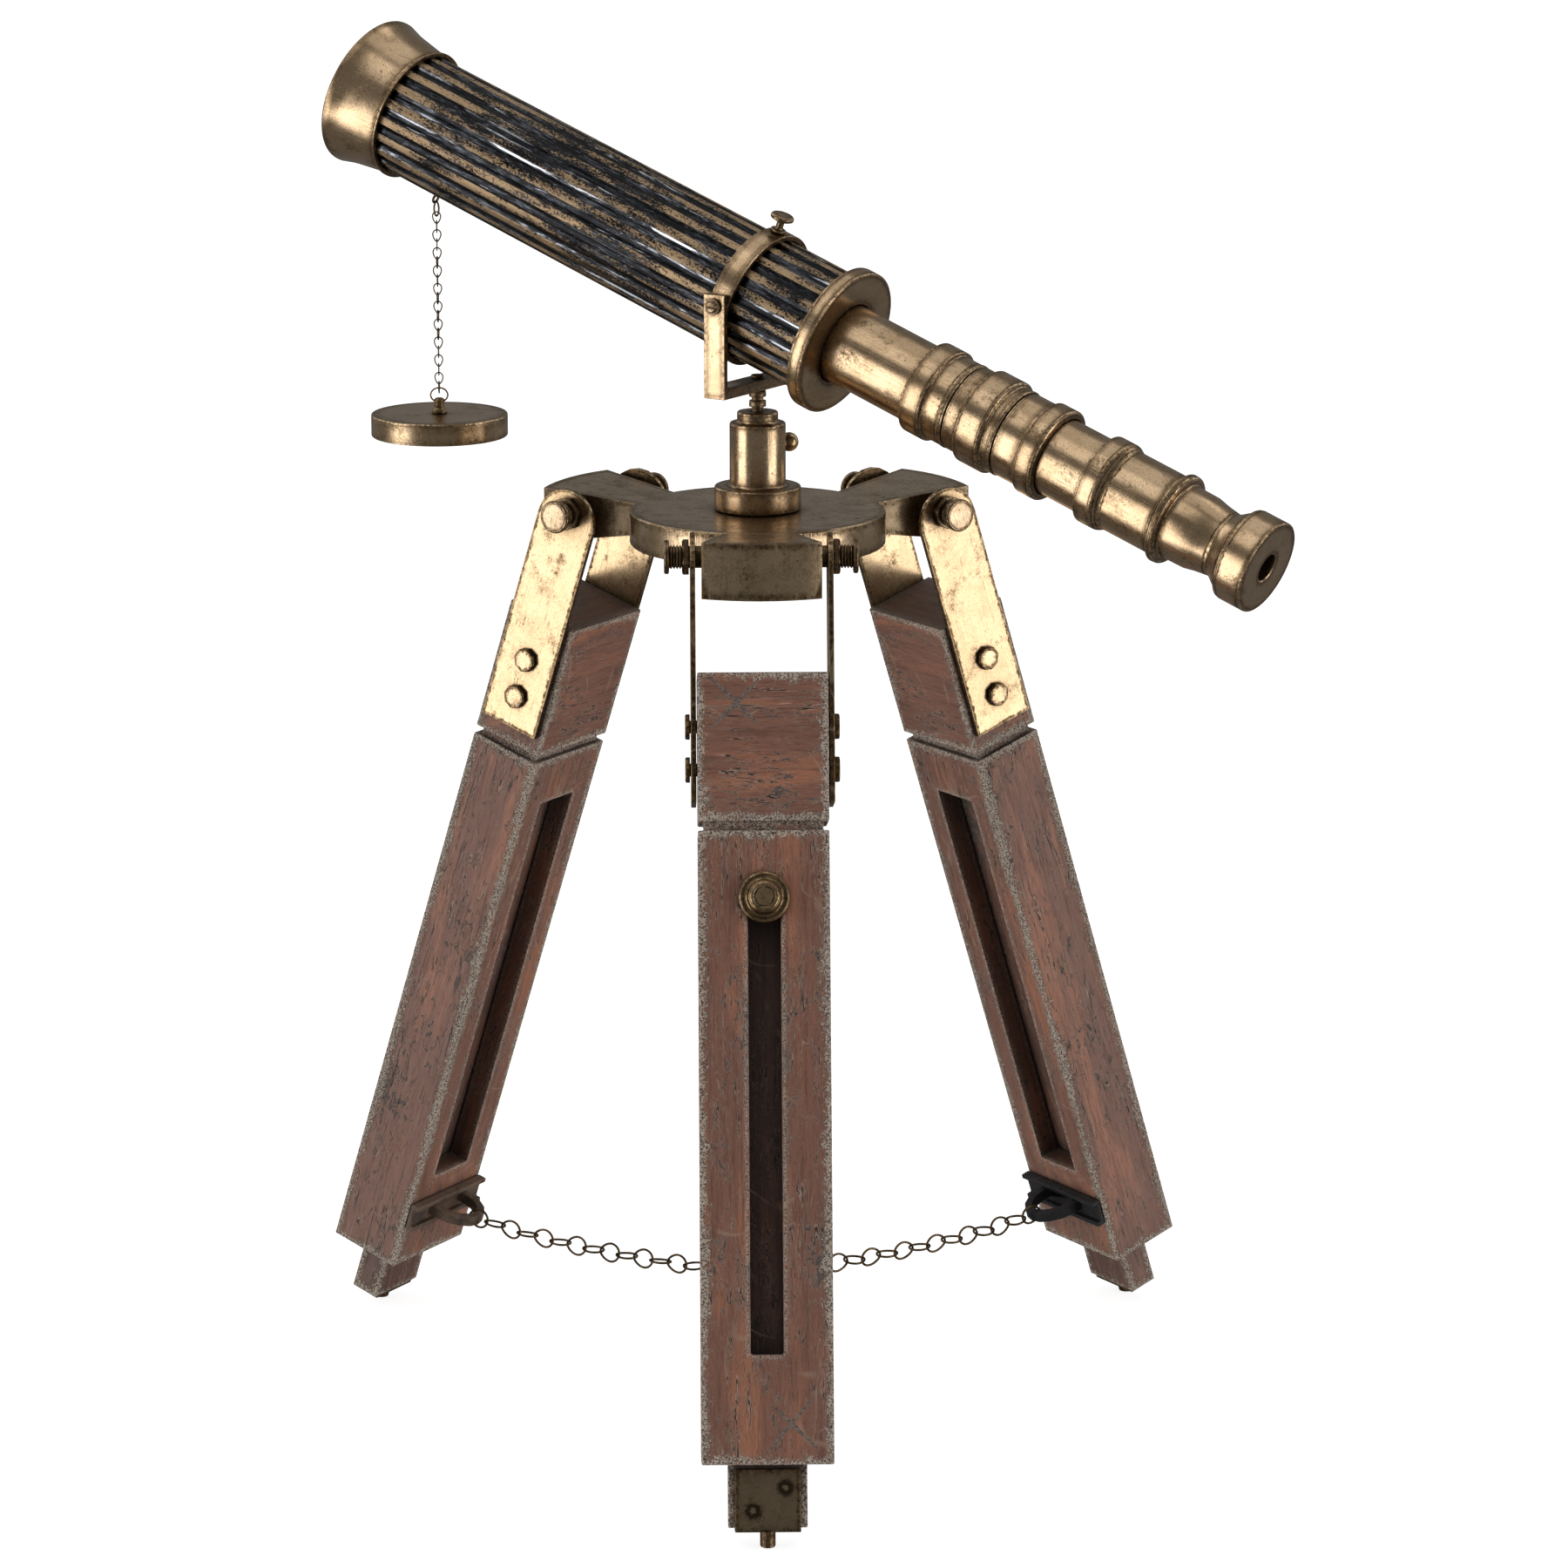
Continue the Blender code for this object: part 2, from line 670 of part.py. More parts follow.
# ---------------------------------------------------------------- legs
def leg_meshes():
    """The meshes that the three legs share, in the leg's own frame."""
    wide, deep = LEG_HALF_WIDE, LEG_HALF_DEEP
    bm = bmesh.new()
    loops = []
    for z, x, y in (
        (BLOCK_TOP, wide, deep),
        (BLOCK_END, wide, deep),
        (BLOCK_END, wide - 0.045, deep - 0.045),
        (BOX_TOP, wide - 0.045, deep - 0.045),
        (BOX_TOP, wide, deep),
        (BOX_END, wide, deep),
    ):
        loops.append([bm.verts.new(p) for p in ((-x, -y, z), (x, -y, z), (x, y, z), (-x, y, z))])
    for low, high in zip(loops, loops[1:]):
        for k in range(4):
            n = (k + 1) % 4
            bm.faces.new((low[k], low[n], high[n], high[k]))
    bm.faces.new(list(reversed(loops[0])))
    bm.faces.new(loops[-1])
    body = mesh_from(bm, "leg")
    x, y = CHANNEL_HALF
    channel = box((-x, -y, CHANNEL_TOP), (x, y, BOX_END + 0.2))
    outer = box((-OUTER_SLOT[0], 0.0, SLOT_TOP), (OUTER_SLOT[0], 0.5, OUTER_SLOT[1]))
    inner = box((-INNER_SLOT[0], -0.5, SLOT_TOP), (INNER_SLOT[0], 0.0, INNER_SLOT[1]))
    through = [
        moved(sideways(rod(((0.0578, -0.8), (0.0578, 0.8)), 8)), z=station)
        for station in STRAP_BOLTS.values()
    ]
    meshes = {"leg": cut(body, channel, outer, inner, *through)}

    outline = disc_outline(STRAP_HALF, pi, tau, 11, (0.0, 0.08)) + [(STRAP_HALF, 1.91), (-STRAP_HALF, 1.91)]
    strap = prism(outline, STRAP_INNER, STRAP_OUTER, "yz")
    holes = [moved(sideways(rod(((0.0578, 0.4), (0.0578, 0.7)), 8)), z=s) for s in STRAP_BOLTS.values()]
    holes.append(sideways(rod(((0.093, 0.4), (0.093, 0.7)), 14)))
    meshes["strap"] = cut(strap, *holes)

    bolt = []
    for end in (-1, 1):
        stack = [
            (0.118, 0.747),
            (0.131, 0.739),
            (0.131, 0.715),
            (0.118, 0.707),
            (0.085, 0.705),
            (0.085, 0.609),
            (0.118, 0.608, 6),
            (0.137, 0.598, 6),
            (0.137, 0.5553, 6),
            (0.085, 0.5553),
        ]
        bolt += [(r, end * x, *flats) for r, x, *flats in (stack if end < 0 else reversed(stack))]
    meshes["pivot_bolt"] = sideways(rod(bolt, 12))
    through_bolt = []
    for end in (-1, 1):
        stack = [(0.091, 0.592, 8), (0.099, 0.584, 8), (0.099, 0.5553, 8), (0.050, 0.5553)]
        through_bolt += [(r, end * x, *flats) for r, x, *flats in (stack if end < 0 else reversed(stack))]
    meshes["strap_bolt"] = sideways(rod(through_bolt, 16))

    board = box((-BOARD_HALF[0], -BOARD_HALF[1], BOARD_TOP), (BOARD_HALF[0], BOARD_HALF[1], BOARD_END))
    stud_hole = moved(sideways(rod(((0.0678, -0.06), (0.0678, 0.3)), 16), "Y"), z=KNOB_STATION)
    meshes["extension"] = cut(board, stud_hole)

    plate_in, plate_out = BOARD_HALF[1] + GAP, 0.152
    shoe = prism(
        (
            (plate_in, 6.95),
            (plate_out, 6.95),
            (plate_out, 7.425),
            (-0.105, 7.425),
            (-0.105, BOARD_END + GAP),
            (plate_in, BOARD_END + GAP),
        ),
        -0.25,
        0.25,
        "yz",
    )
    pin = rod(((0.059, 7.41), (0.059, 7.53)), 16)
    floor = HEAD_TOP - HINGE_DROP
    for vertex in pin.vertices:
        if vertex.co.z > 7.5 * LEG_WIDTH:
            across = vertex.co.y / LEG_WIDTH
            vertex.co.z = (floor + across * sin(SPLAY)) / cos(SPLAY) * LEG_WIDTH
    meshes["foot_shoe"] = joined(shoe, pin)

    face = LEG_HALF_DEEP + GAP
    knob = (
        (0.060, -0.05),
        (0.060, face),
        (0.185, face),
        (0.195, face + 0.012),
        (0.195, face + 0.045),
        (0.180, face + 0.060),
        (0.135, face + 0.066),
        (0.135, face + 0.085),
        (0.120, face + 0.110),
        (0.100, face + 0.128),
        (0.075, face + 0.130),
    )
    meshes["clamp_knob"] = sideways(rod(knob, 18), "Y")

    back, floor_y, rim = -LEG_HALF_DEEP - GAP, -0.355, -0.400
    outline = (
        (back, BRACKET_TOP),
        (rim, BRACKET_TOP),
        (rim, BRACKET_TOP + 0.04),
        (floor_y, BRACKET_TOP + 0.04),
        (floor_y, BRACKET_END - 0.04),
        (rim, BRACKET_END - 0.04),
        (rim, BRACKET_END),
        (back, BRACKET_END),
    )
    plate = prism(outline, -0.497, 0.497, "yz")
    route = [(0.215, -0.335), (0.215, -0.43), (0.195, -0.53), (0.14, -0.615), (0.07, -0.665)]
    route = route + [(0.0, -0.68)] + [(-x, y) for x, y in reversed(route)]
    loop = wire_loop([(x, y, LOOP_STATION) for x, y in route], 0.035, 0.045, False, (0.0, 0.0, 1.0))
    meshes["bracket"] = joined(plate, loop)
    return meshes


def legs():
    meshes = leg_meshes()
    for side, azimuth in LEGS.items():
        at = leg_frame(azimuth)
        turned = at @ Matrix.Rotation(pi, 4, "Z")
        place(f"leg_{side}", meshes["leg"], "wood", at, smooth=False)
        place(f"strap_{side}_a", meshes["strap"], "brass", at)
        place(f"strap_{side}_b", meshes["strap"], "brass", turned)
        place(f"pivot_bolt_{side}", meshes["pivot_bolt"], "dark_brass", at)
        for level, station in STRAP_BOLTS.items():
            place(f"strap_bolt_{side}_{level}", meshes["strap_bolt"], "dark_brass", leg_frame(azimuth, station))
        place(f"extension_{side}", meshes["extension"], "dark_wood", at, smooth=False)
        place(f"foot_shoe_{side}", meshes["foot_shoe"], "bronze", at)
        place(f"clamp_knob_{side}", meshes["clamp_knob"], "dark_brass", leg_frame(azimuth, KNOB_STATION))
        bracket = meshes["bracket"].copy()
        bracket.materials.clear()
        iron = {"front": "black_iron", "right": "black_iron", "left": "rusty_iron"}[side]
        place(f"bracket_{side}", bracket, iron, at)
        leg_chain(side, azimuth)


def leg_chain(side, azimuth):
    """From just inside the D-loop to the ring on the tripod's axis, with a slight sag."""
    out = Vector((cos(azimuth), sin(azimuth), 0.0))
    start = (2.735, HEAD_TOP - 6.402)
    end = (0.135, HEAD_TOP - 6.375)
    reach = start[0] - end[0]
    count = ceil(reach / 0.40) + 1
    points = []
    for k in range(count):
        f = k / (count - 1)
        sag = 0.055 * 4 * f * (1 - f)
        points.append(out * (start[0] - reach * f) + UP * (start[1] + (end[1] - start[1]) * f - sag))
    cord(f"leg_chain_{side}", points, 0.165)


def centre_ring():
    ring_frame = frame((0.0, 0.0, HEAD_TOP - 6.375), Vector((1, 0, 0)), UP, Vector((0, -1, 0)))
    place("centre_ring", torus(0.075, 0.075, 0.018, 12, 5), "chain_brass", ring_frame)


clear_scene()
telescope()
lens_cap()
fork_and_column()
tripod_head()
legs()
centre_ring()
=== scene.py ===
"""Looks of the brass telescope on its wooden tripod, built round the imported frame."""

import random
from math import cos, pi, radians, sin, tau

import bmesh
import bpy
from mathutils import Matrix, Vector
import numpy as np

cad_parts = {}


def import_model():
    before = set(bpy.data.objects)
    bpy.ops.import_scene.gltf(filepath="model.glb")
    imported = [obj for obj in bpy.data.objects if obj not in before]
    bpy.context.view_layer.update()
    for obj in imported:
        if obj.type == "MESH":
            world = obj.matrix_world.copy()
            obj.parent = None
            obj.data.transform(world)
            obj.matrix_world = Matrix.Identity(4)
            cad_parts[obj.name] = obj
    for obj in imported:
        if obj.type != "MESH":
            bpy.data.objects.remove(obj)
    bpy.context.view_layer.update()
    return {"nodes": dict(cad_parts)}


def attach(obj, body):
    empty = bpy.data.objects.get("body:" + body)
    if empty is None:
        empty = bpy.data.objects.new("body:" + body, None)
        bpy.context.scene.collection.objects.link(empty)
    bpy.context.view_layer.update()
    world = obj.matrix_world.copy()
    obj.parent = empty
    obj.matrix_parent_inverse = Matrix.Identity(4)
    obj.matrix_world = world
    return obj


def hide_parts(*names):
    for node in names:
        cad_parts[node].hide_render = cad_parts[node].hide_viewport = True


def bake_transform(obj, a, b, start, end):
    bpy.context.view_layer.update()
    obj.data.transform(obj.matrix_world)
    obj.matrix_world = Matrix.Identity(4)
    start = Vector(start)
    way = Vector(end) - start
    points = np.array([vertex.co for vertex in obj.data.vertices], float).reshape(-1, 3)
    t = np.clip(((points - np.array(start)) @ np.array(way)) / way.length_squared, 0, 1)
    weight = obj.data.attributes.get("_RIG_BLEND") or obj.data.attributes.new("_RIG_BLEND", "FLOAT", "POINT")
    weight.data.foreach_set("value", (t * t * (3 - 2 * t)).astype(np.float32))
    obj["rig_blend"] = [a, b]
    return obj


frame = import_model()
NODES = frame["nodes"]

# Every length is in leg widths of 40 mm, measured from the tripod's axis at floor level.
U = 0.040
AXIS = Vector((-0.2160, 0.6383, 0.0))
HEAD_TOP = 7.242
PIVOT_TOP = HEAD_TOP + 1.6975
TUBE_AZIMUTH, TUBE_RISE = radians(-34.48), radians(20.0)
LEGS = {"front": radians(-90.0), "right": radians(33.05), "left": radians(146.95)}
SPLAY = radians(18.34)
HINGE_RADIUS, HINGE_DROP = 1.446, 0.092
GAP = 0.0078
UP = Vector((0.0, 0.0, 1.0))
HEADING = Vector((cos(TUBE_AZIMUTH), sin(TUBE_AZIMUTH), 0.0))
ACROSS = UP.cross(HEADING)
TUBE_UP = HEADING * sin(TUBE_RISE) + UP * cos(TUBE_RISE)
TUBE_ALONG = HEADING * cos(TUBE_RISE) - UP * sin(TUBE_RISE)


def direction(azimuth, elevation):
    a, e = radians(azimuth), radians(elevation)
    return Vector((cos(a) * cos(e), sin(a) * cos(e), sin(e)))


def world(point):
    return (Vector(point) + AXIS) * U


def local(origin, x, y, z):
    o = world(origin)
    return Matrix([(x[i], y[i], z[i], o[i]) for i in range(3)] + [(0.0, 0.0, 0.0, 1.0)])


TUBE = local((0.0, 0.0, PIVOT_TOP), ACROSS, TUBE_UP, TUBE_ALONG)
FORK = local((0.0, 0.0, PIVOT_TOP), ACROSS, -HEADING, UP)
HEAD = local((0.0, 0.0, HEAD_TOP), (1, 0, 0), (0, 1, 0), UP)


def leg_axes(azimuth):
    out = Vector((cos(azimuth), sin(azimuth), 0.0))
    normal = out * cos(SPLAY) + UP * sin(SPLAY)
    down = out * sin(SPLAY) - UP * cos(SPLAY)
    hinge = out * HINGE_RADIUS + UP * (HEAD_TOP - HINGE_DROP)
    return out, UP.cross(out), normal, down, hinge


def leg_frame(azimuth, station=0.0):
    _, across, normal, down, hinge = leg_axes(azimuth)
    return local(hinge + down * station, across, normal, down)


# ---------------------------------------------------------------- camera
def camera():
    data = bpy.data.cameras.new("camera")
    data.sensor_width = 36.0
    data.lens = 128.97
    data.clip_start, data.clip_end = 0.05, 50.0
    obj = bpy.data.objects.new("camera", data)
    obj.location = world((-0.783, -43.730, HEAD_TOP + 8.443))
    yaw, pitch = 0.02267, -0.23959
    turn = Matrix.Rotation(-yaw, 4, "Z") @ Matrix.Rotation(pi / 2 + pitch, 4, "X")
    obj.rotation_euler = turn.to_euler()
    bpy.context.scene.collection.objects.link(obj)
    bpy.context.scene.camera = obj


camera()


# ---------------------------------------------------------------- node materials
class Shader:
    """A short way to write a node tree."""

    def __init__(self, name):
        self.material = bpy.data.materials.new(name)
        self.material.use_nodes = True
        self.tree = self.material.node_tree
        self.out = self.tree.nodes["Principled BSDF"]
        self.place = self.add("ShaderNodeTexCoord").outputs["Object"]
        self.local = self.vector("MULTIPLY", self.place, (1 / U, 1 / U, 1 / U))

    def add(self, kind, **settings):
        node = self.tree.nodes.new(kind)
        for key, value in settings.items():
            setattr(node, key, value)
        return node

    def feed(self, socket, value):
        if isinstance(value, bpy.types.NodeSocket):
            self.tree.links.new(value, socket)
        elif value is not None:
            if socket.type == "RGBA" and len(value) == 3:
                value = (*value, 1.0)
            socket.default_value = value

    def math(self, operation, a, b=None, clamp=False):
        node = self.add("ShaderNodeMath", operation=operation, use_clamp=clamp)
        for socket, value in zip(node.inputs, (a, b)):
            self.feed(socket, value)
        return node.outputs[0]

    def plus(self, a, b):
        return self.math("ADD", a, b)

    def minus(self, a, b, clamp=False):
        return self.math("SUBTRACT", a, b, clamp)

    def times(self, a, b):
        return self.math("MULTIPLY", a, b)

    def most(self, a, b):
        return self.math("MAXIMUM", a, b)

    def least(self, a, b):
        return self.math("MINIMUM", a, b)

    def away(self, a, b):
        """How far a is from b, whichever is larger."""
        return self.math("ABSOLUTE", self.minus(a, b))

    def swing(self, noise, amount):
        """A noise round a half, moved to lie round 0 and scaled."""
        return self.times(self.minus(noise, 0.5), amount)

    def length(self, x, y):
        return self.math("SQRT", self.plus(self.times(x, x), self.times(y, y)))

    def vector(self, operation, a, b, output="Vector"):
        node = self.add("ShaderNodeVectorMath", operation=operation)
        self.feed(node.inputs[0], a)
        self.feed(node.inputs[1], b)
        return node.outputs[output]

    def split(self, vector):
        node = self.add("ShaderNodeSeparateXYZ")
        self.feed(node.inputs[0], vector)
        return tuple(node.outputs)

    def join(self, x, y, z):
        node = self.add("ShaderNodeCombineXYZ")
        for socket, value in zip(node.inputs, (x, y, z)):
            self.feed(socket, value)
        return node.outputs[0]

    def stretch(self, scale, shift=(0.0, 0.0, 0.0), turn=(0.0, 0.0, 0.0), source=None):
        node = self.add("ShaderNodeMapping")
        self.feed(node.inputs["Vector"], source or self.local)
        node.inputs["Scale"].default_value = scale
        node.inputs["Rotation"].default_value = turn
        node.inputs["Location"].default_value = shift
        return node.outputs[0]

    def noise(self, scale, detail, rough, source=None, distort=0.0):
        node = self.add("ShaderNodeTexNoise")
        self.feed(node.inputs["Vector"], source or self.local)
        node.inputs["Scale"].default_value = scale
        node.inputs["Detail"].default_value = detail
        node.inputs["Roughness"].default_value = rough
        node.inputs["Distortion"].default_value = distort
        return node.outputs[0]

    def step(self, value, low, high, to_low=0.0, to_high=1.0):
        """A smooth step from to_low at low to to_high at high."""
        node = self.add("ShaderNodeMapRange", interpolation_type="SMOOTHSTEP")
        node.inputs["From Min"].default_value = low
        node.inputs["From Max"].default_value = high
        node.inputs["To Min"].default_value = to_low
        node.inputs["To Max"].default_value = to_high
        self.feed(node.inputs["Value"], value)
        return node.outputs[0]

    def mix(self, factor, a, b):
        node = self.add("ShaderNodeMix", data_type="RGBA")
        self.feed(node.inputs[0], factor)
        self.feed(node.inputs[6], a)
        self.feed(node.inputs[7], b)
        return node.outputs[2]

    def blend(self, factor, a, b):
        node = self.add("ShaderNodeMix", data_type="FLOAT")
        self.feed(node.inputs[0], factor)
        self.feed(node.inputs[2], a)
        self.feed(node.inputs[3], b)
        return node.outputs[0]

    def edge(self, radius):
        """1 on the flats, less on a sharp edge: how far a rounded normal leans from the real one."""
        bevel = self.add("ShaderNodeBevel", samples=6)
        bevel.inputs["Radius"].default_value = radius * U
        real = self.add("ShaderNodeNewGeometry").outputs["Normal"]
        return self.vector("DOT_PRODUCT", bevel.outputs[0], real, "Value")

    def crevice(self, reach):
        node = self.add("ShaderNodeAmbientOcclusion", samples=6)
        node.inputs["Distance"].default_value = reach * U
        return node.outputs["AO"]

    def bump(self, height, strength, distance):
        node = self.add("ShaderNodeBump")
        node.inputs["Strength"].default_value = strength
        node.inputs["Distance"].default_value = distance * U
        self.feed(node.inputs["Height"], height)
        return node.outputs[0]

    def finish(self, **sockets):
        for key, value in sockets.items():
            self.feed(self.out.inputs[key.replace("_", " ")], value)
        return self.material


# Places on the head and in a leg's own frame, where z runs down the leg from its hinge.
ARM_TOP_FROM, ARM_TOP_RISE = 1.014, 0.1055
ARM_BASE_FROM, ARM_BASE_RISE, PLATE_BASE = -1.042, -0.1313, -0.267
STRAP_HALF, STRAP_EYE, STRAP_END = 0.27, 0.08, 1.91
STRAP_BOLTS, STUD_CHAMFER = (1.31, 1.64), 0.090
LEG_HALVES, LEG_TOP, GROOVE, LEG_END = (0.5, 0.315), 0.92, (2.056, 2.126), 6.913
BOARD_HALVES, BOARD_END = (0.30, 0.12), 7.392
SHOE_HALF, SHOE_TOP, SHOE_END = 0.245, 6.94, 7.435
SHOE_PITS = ((0.133, 7.09), (-0.113, 7.266))
KNOB_STATION = 2.637
RIBS, FIRST_RIB = 21, radians(92.0)


def scratches(s, length, width, turns, keep=0.5):
    """Fine straight lines in a few directions, each broken up along its length."""
    total = None
    for k, turn in enumerate(turns):
        lines = s.noise(1.0, 1.0, 0.4, s.stretch((1 / length, 1 / width, 1 / length), (k * 3.7, 0, 0), turn))
        line = s.minus(1.0, s.step(s.away(lines, 0.5), 0.0, 0.012))
        patch = s.noise(2.2, 2.0, 0.6, s.stretch((1, 1, 1), (9.1 * k, 4, 2), turn))
        line = s.times(line, s.step(patch, keep, keep + 0.12))
        total = line if total is None else s.most(total, line)
    return total


def strap_edge(s):
    """Distance to the outline of a leg's strap, round at its upper end."""
    _, y, z = s.split(s.local)
    above = s.least(s.minus(z, STRAP_EYE), 0.0)
    return s.least(s.minus(STRAP_HALF, s.length(y, above)), s.minus(STRAP_END, z))


def stud_edge(s):
    """Distance to the chamfer round the head of a strap's bolt."""
    _, y, z = s.split(s.local)
    level = s.least(s.away(z, STRAP_BOLTS[0]), s.away(z, STRAP_BOLTS[1]))
    return s.plus(s.times(s.away(s.length(y, level), STUD_CHAMFER), 0.6), 0.012)


def shoe_edge(s):
    """Distance to the border of a shoe's front face."""
    x, _, z = s.split(s.local)
    ends = s.least(s.minus(z, SHOE_TOP), s.minus(SHOE_END, z))
    return s.least(s.minus(SHOE_HALF, s.math("ABSOLUTE", x)), ends)


def head_edge(s):
    """Distance along the side faces to the head's top and bottom edges, and a large value on the flat faces."""
    x, y, z = s.split(s.local)
    radius = s.length(x, y)
    top = s.most(s.times(s.minus(radius, ARM_TOP_FROM), ARM_TOP_RISE), 0.0)
    _, _, up = s.split(s.add("ShaderNodeTexCoord").outputs["Normal"])
    base = s.least(s.times(s.minus(radius, ARM_BASE_FROM), ARM_BASE_RISE), PLATE_BASE)
    near = s.least(s.away(z, top), s.away(z, base))
    return s.plus(s.times(near, 0.7), s.step(s.math("ABSOLUTE", up), 0.6, 0.8))


def brass(name, light, deep, age=0.5, grime=0.0, rough=0.18, rim=0.10, outline=None, haze=0.15, pits=()):
    """Aged brass: worn bright on the faces, brown in flecks and along each edge, and dark in corners and hollows as
    patina with painted shade.
    """
    s = Shader(name)
    cloud = s.noise(2.6, 5.0, 0.62)
    grain = s.noise(85.0, 3.0, 0.75)
    mottle = s.noise(13.0, 6.0, 0.68)
    tone = s.mix(s.step(cloud, 0.38, 0.66), light, deep)
    tone = s.mix(s.step(grain, 0.46, 0.66, 0.0, 0.45), tone, tuple(0.40 * c for c in deep))
    where = s.noise(1.9, 3.0, 0.6, s.stretch((1, 1, 1), (5, 3, 1)))
    flecks = s.noise(44.0, 7.0, 0.78, s.stretch((1.0, 0.8, 0.7), turn=(0.3, 0.5, 0.2)))
    flecks = s.plus(flecks, s.swing(where, 0.34 + 0.1 * age))
    fleck = s.step(flecks, 0.650 - 0.05 * age, 0.70 - 0.05 * age, 0.0, 0.85)
    torn = s.minus(s.noise(32.0, 6.0, 0.76), 0.5)
    sway = s.minus(s.noise(4.0, 3.0, 0.6), 0.5)
    rims = s.add("ShaderNodeAttribute", attribute_name="rim").outputs["Fac"]
    band = s.plus(rims, s.plus(s.times(torn, 2.0), s.times(sway, 0.9)))
    corner = s.edge(rim)
    flat = s.plus(corner, s.plus(s.times(torn, 0.10), s.times(sway, -0.10)))
    border = s.most(s.step(band, 0.34, 0.74, 0.0, 0.95), s.step(flat, 0.965, 0.9985, 0.95, 0.0))
    line = s.most(s.step(rims, 0.93, 0.995), s.step(corner, 0.74, 0.86, 1.0, 0.0))
    if outline:
        distance = outline(s)
        fray = s.plus(distance, s.plus(s.times(torn, 0.10), s.times(sway, 0.05)))
        border = s.most(border, s.step(fray, 0.016, 0.034, 0.97, 0.0))
        bright = s.times(s.step(distance, 0.005, 0.011, 1.0, 0.0), s.step(distance, 0.001, 0.0035))
        line = s.most(line, bright)
    line = s.times(line, s.step(torn, -0.06, 0.02, 0.15, 0.85))
    border = s.times(border, s.minus(1.0, line))
    # patina with painted shade: darker in corners, creases and between parts, from ambient occlusion, where shade
    # falls
    hollow_patina_and_shade = s.step(s.plus(s.crevice(0.24), s.times(torn, 0.35)), 0.40, 0.92, 0.94, 0.0)
    turns = ((0.4, 0.3, 0.6), (1.2, 0.7, -0.5), (0.1, 1.9, 1.1), (2.2, 0.5, 0.2))
    lines = scratches(s, 1.6, 0.030, turns)
    dark = s.most(s.most(border, hollow_patina_and_shade), fleck)
    if grime:
        smear = s.noise(4.2, 8.0, 0.76, s.stretch((1, 1, 1), (2, 8, 5)))
        smear = s.step(smear, 0.60 - 0.16 * grime, 0.72 - 0.16 * grime, 0.0, 0.8)
        dark = s.most(dark, smear)
        veil = s.noise(5.5, 9.0, 0.80, s.stretch((1, 1, 1), (6, 1, 9)))
        dark = s.most(dark, s.step(veil, 0.46, 0.66, 0.0, haze))
        dash = s.noise(1.0, 5.0, 0.72, s.stretch((58, 58, 15), turn=(0.5, 0.9, 0.4)))
        dash = s.plus(dash, s.swing(where, 0.5))
        dark = s.most(dark, s.step(dash, 0.665, 0.695, 0.0, 0.9))
        fine = scratches(s, 0.8, 0.020, ((0.9, 0.4, -0.4), (0.3, -1.1, 0.8), (1.7, 0.2, 1.3)), 0.44)
        dark = s.times(dark, s.minus(1.0, s.times(fine, 0.75)))
    dark = s.most(dark, s.times(lines, 0.5))
    brown = s.mix(s.step(s.noise(30.0, 4.0, 0.7), 0.42, 0.62), (0.035, 0.020, 0.009), (0.19, 0.115, 0.050))
    colour = s.mix(dark, tone, brown)
    gloss = s.plus(s.swing(mottle, 0.26), rough)
    gloss = s.plus(gloss, s.swing(cloud, 0.14))
    gloss = s.blend(dark, gloss, 0.46)
    relief = s.plus(s.times(mottle, 0.5), s.times(grain, 0.22))
    relief = s.minus(relief, s.times(dark, 0.25))
    for spot in pits:
        x, _, z = s.split(s.local)
        away = s.vector("DISTANCE", s.join(x, 0.0, z), (spot[0], 0.0, spot[1]), "Value")
        away = s.plus(away, s.times(torn, 0.08))
        pit = s.times(s.step(away, 0.045, 0.085, 1.0, 0.0), s.step(away, 0.012, 0.030))
        colour = s.mix(s.times(pit, 0.85), colour, (0.016, 0.011, 0.007))
        colour = s.mix(s.step(away, 0.008, 0.022, 0.6, 0.0), colour, light)
        relief = s.minus(relief, s.times(pit, 2.0))
    normal = s.bump(relief, 0.12 if outline else 0.30, 0.005)
    return s.finish(Base_Color=colour, Metallic=1.0, Roughness=gloss, Normal=normal)


def crossing(s, x, z, ax, az, bx, bz, half):
    """1 along a straight cut between two points on a face, 0 elsewhere."""
    run = Vector((bx - ax, bz - az))
    size = run.length
    ux, uz = run.x / size, run.y / size
    dx, dz = s.minus(x, ax), s.minus(z, az)
    along = s.plus(s.times(dx, ux), s.times(dz, uz))
    off = s.away(s.times(dx, uz), s.times(dz, ux))
    taper = s.minus(1.0, s.away(s.times(along, 2 / size), 1.0))
    taper = s.times(s.math("POWER", s.most(taper, 0.0), 0.35), half)
    return s.step(s.minus(off, taper), -0.5 * half, 0.25 * half, 1.0, 0.0)


def timber_edges(s, x, y, z, half_wide, half_deep, *stations):
    """Distance to the nearest outer edge of a timber: its long edges and those at its stations."""
    wide = s.minus(half_wide, s.math("ABSOLUTE", x))
    deep = s.minus(half_deep, s.math("ABSOLUTE", y))
    nearest, thin = s.most(wide, deep), s.least(wide, deep)
    for station in stations:
        nearest = s.least(nearest, s.most(s.away(z, station), thin))
    return nearest


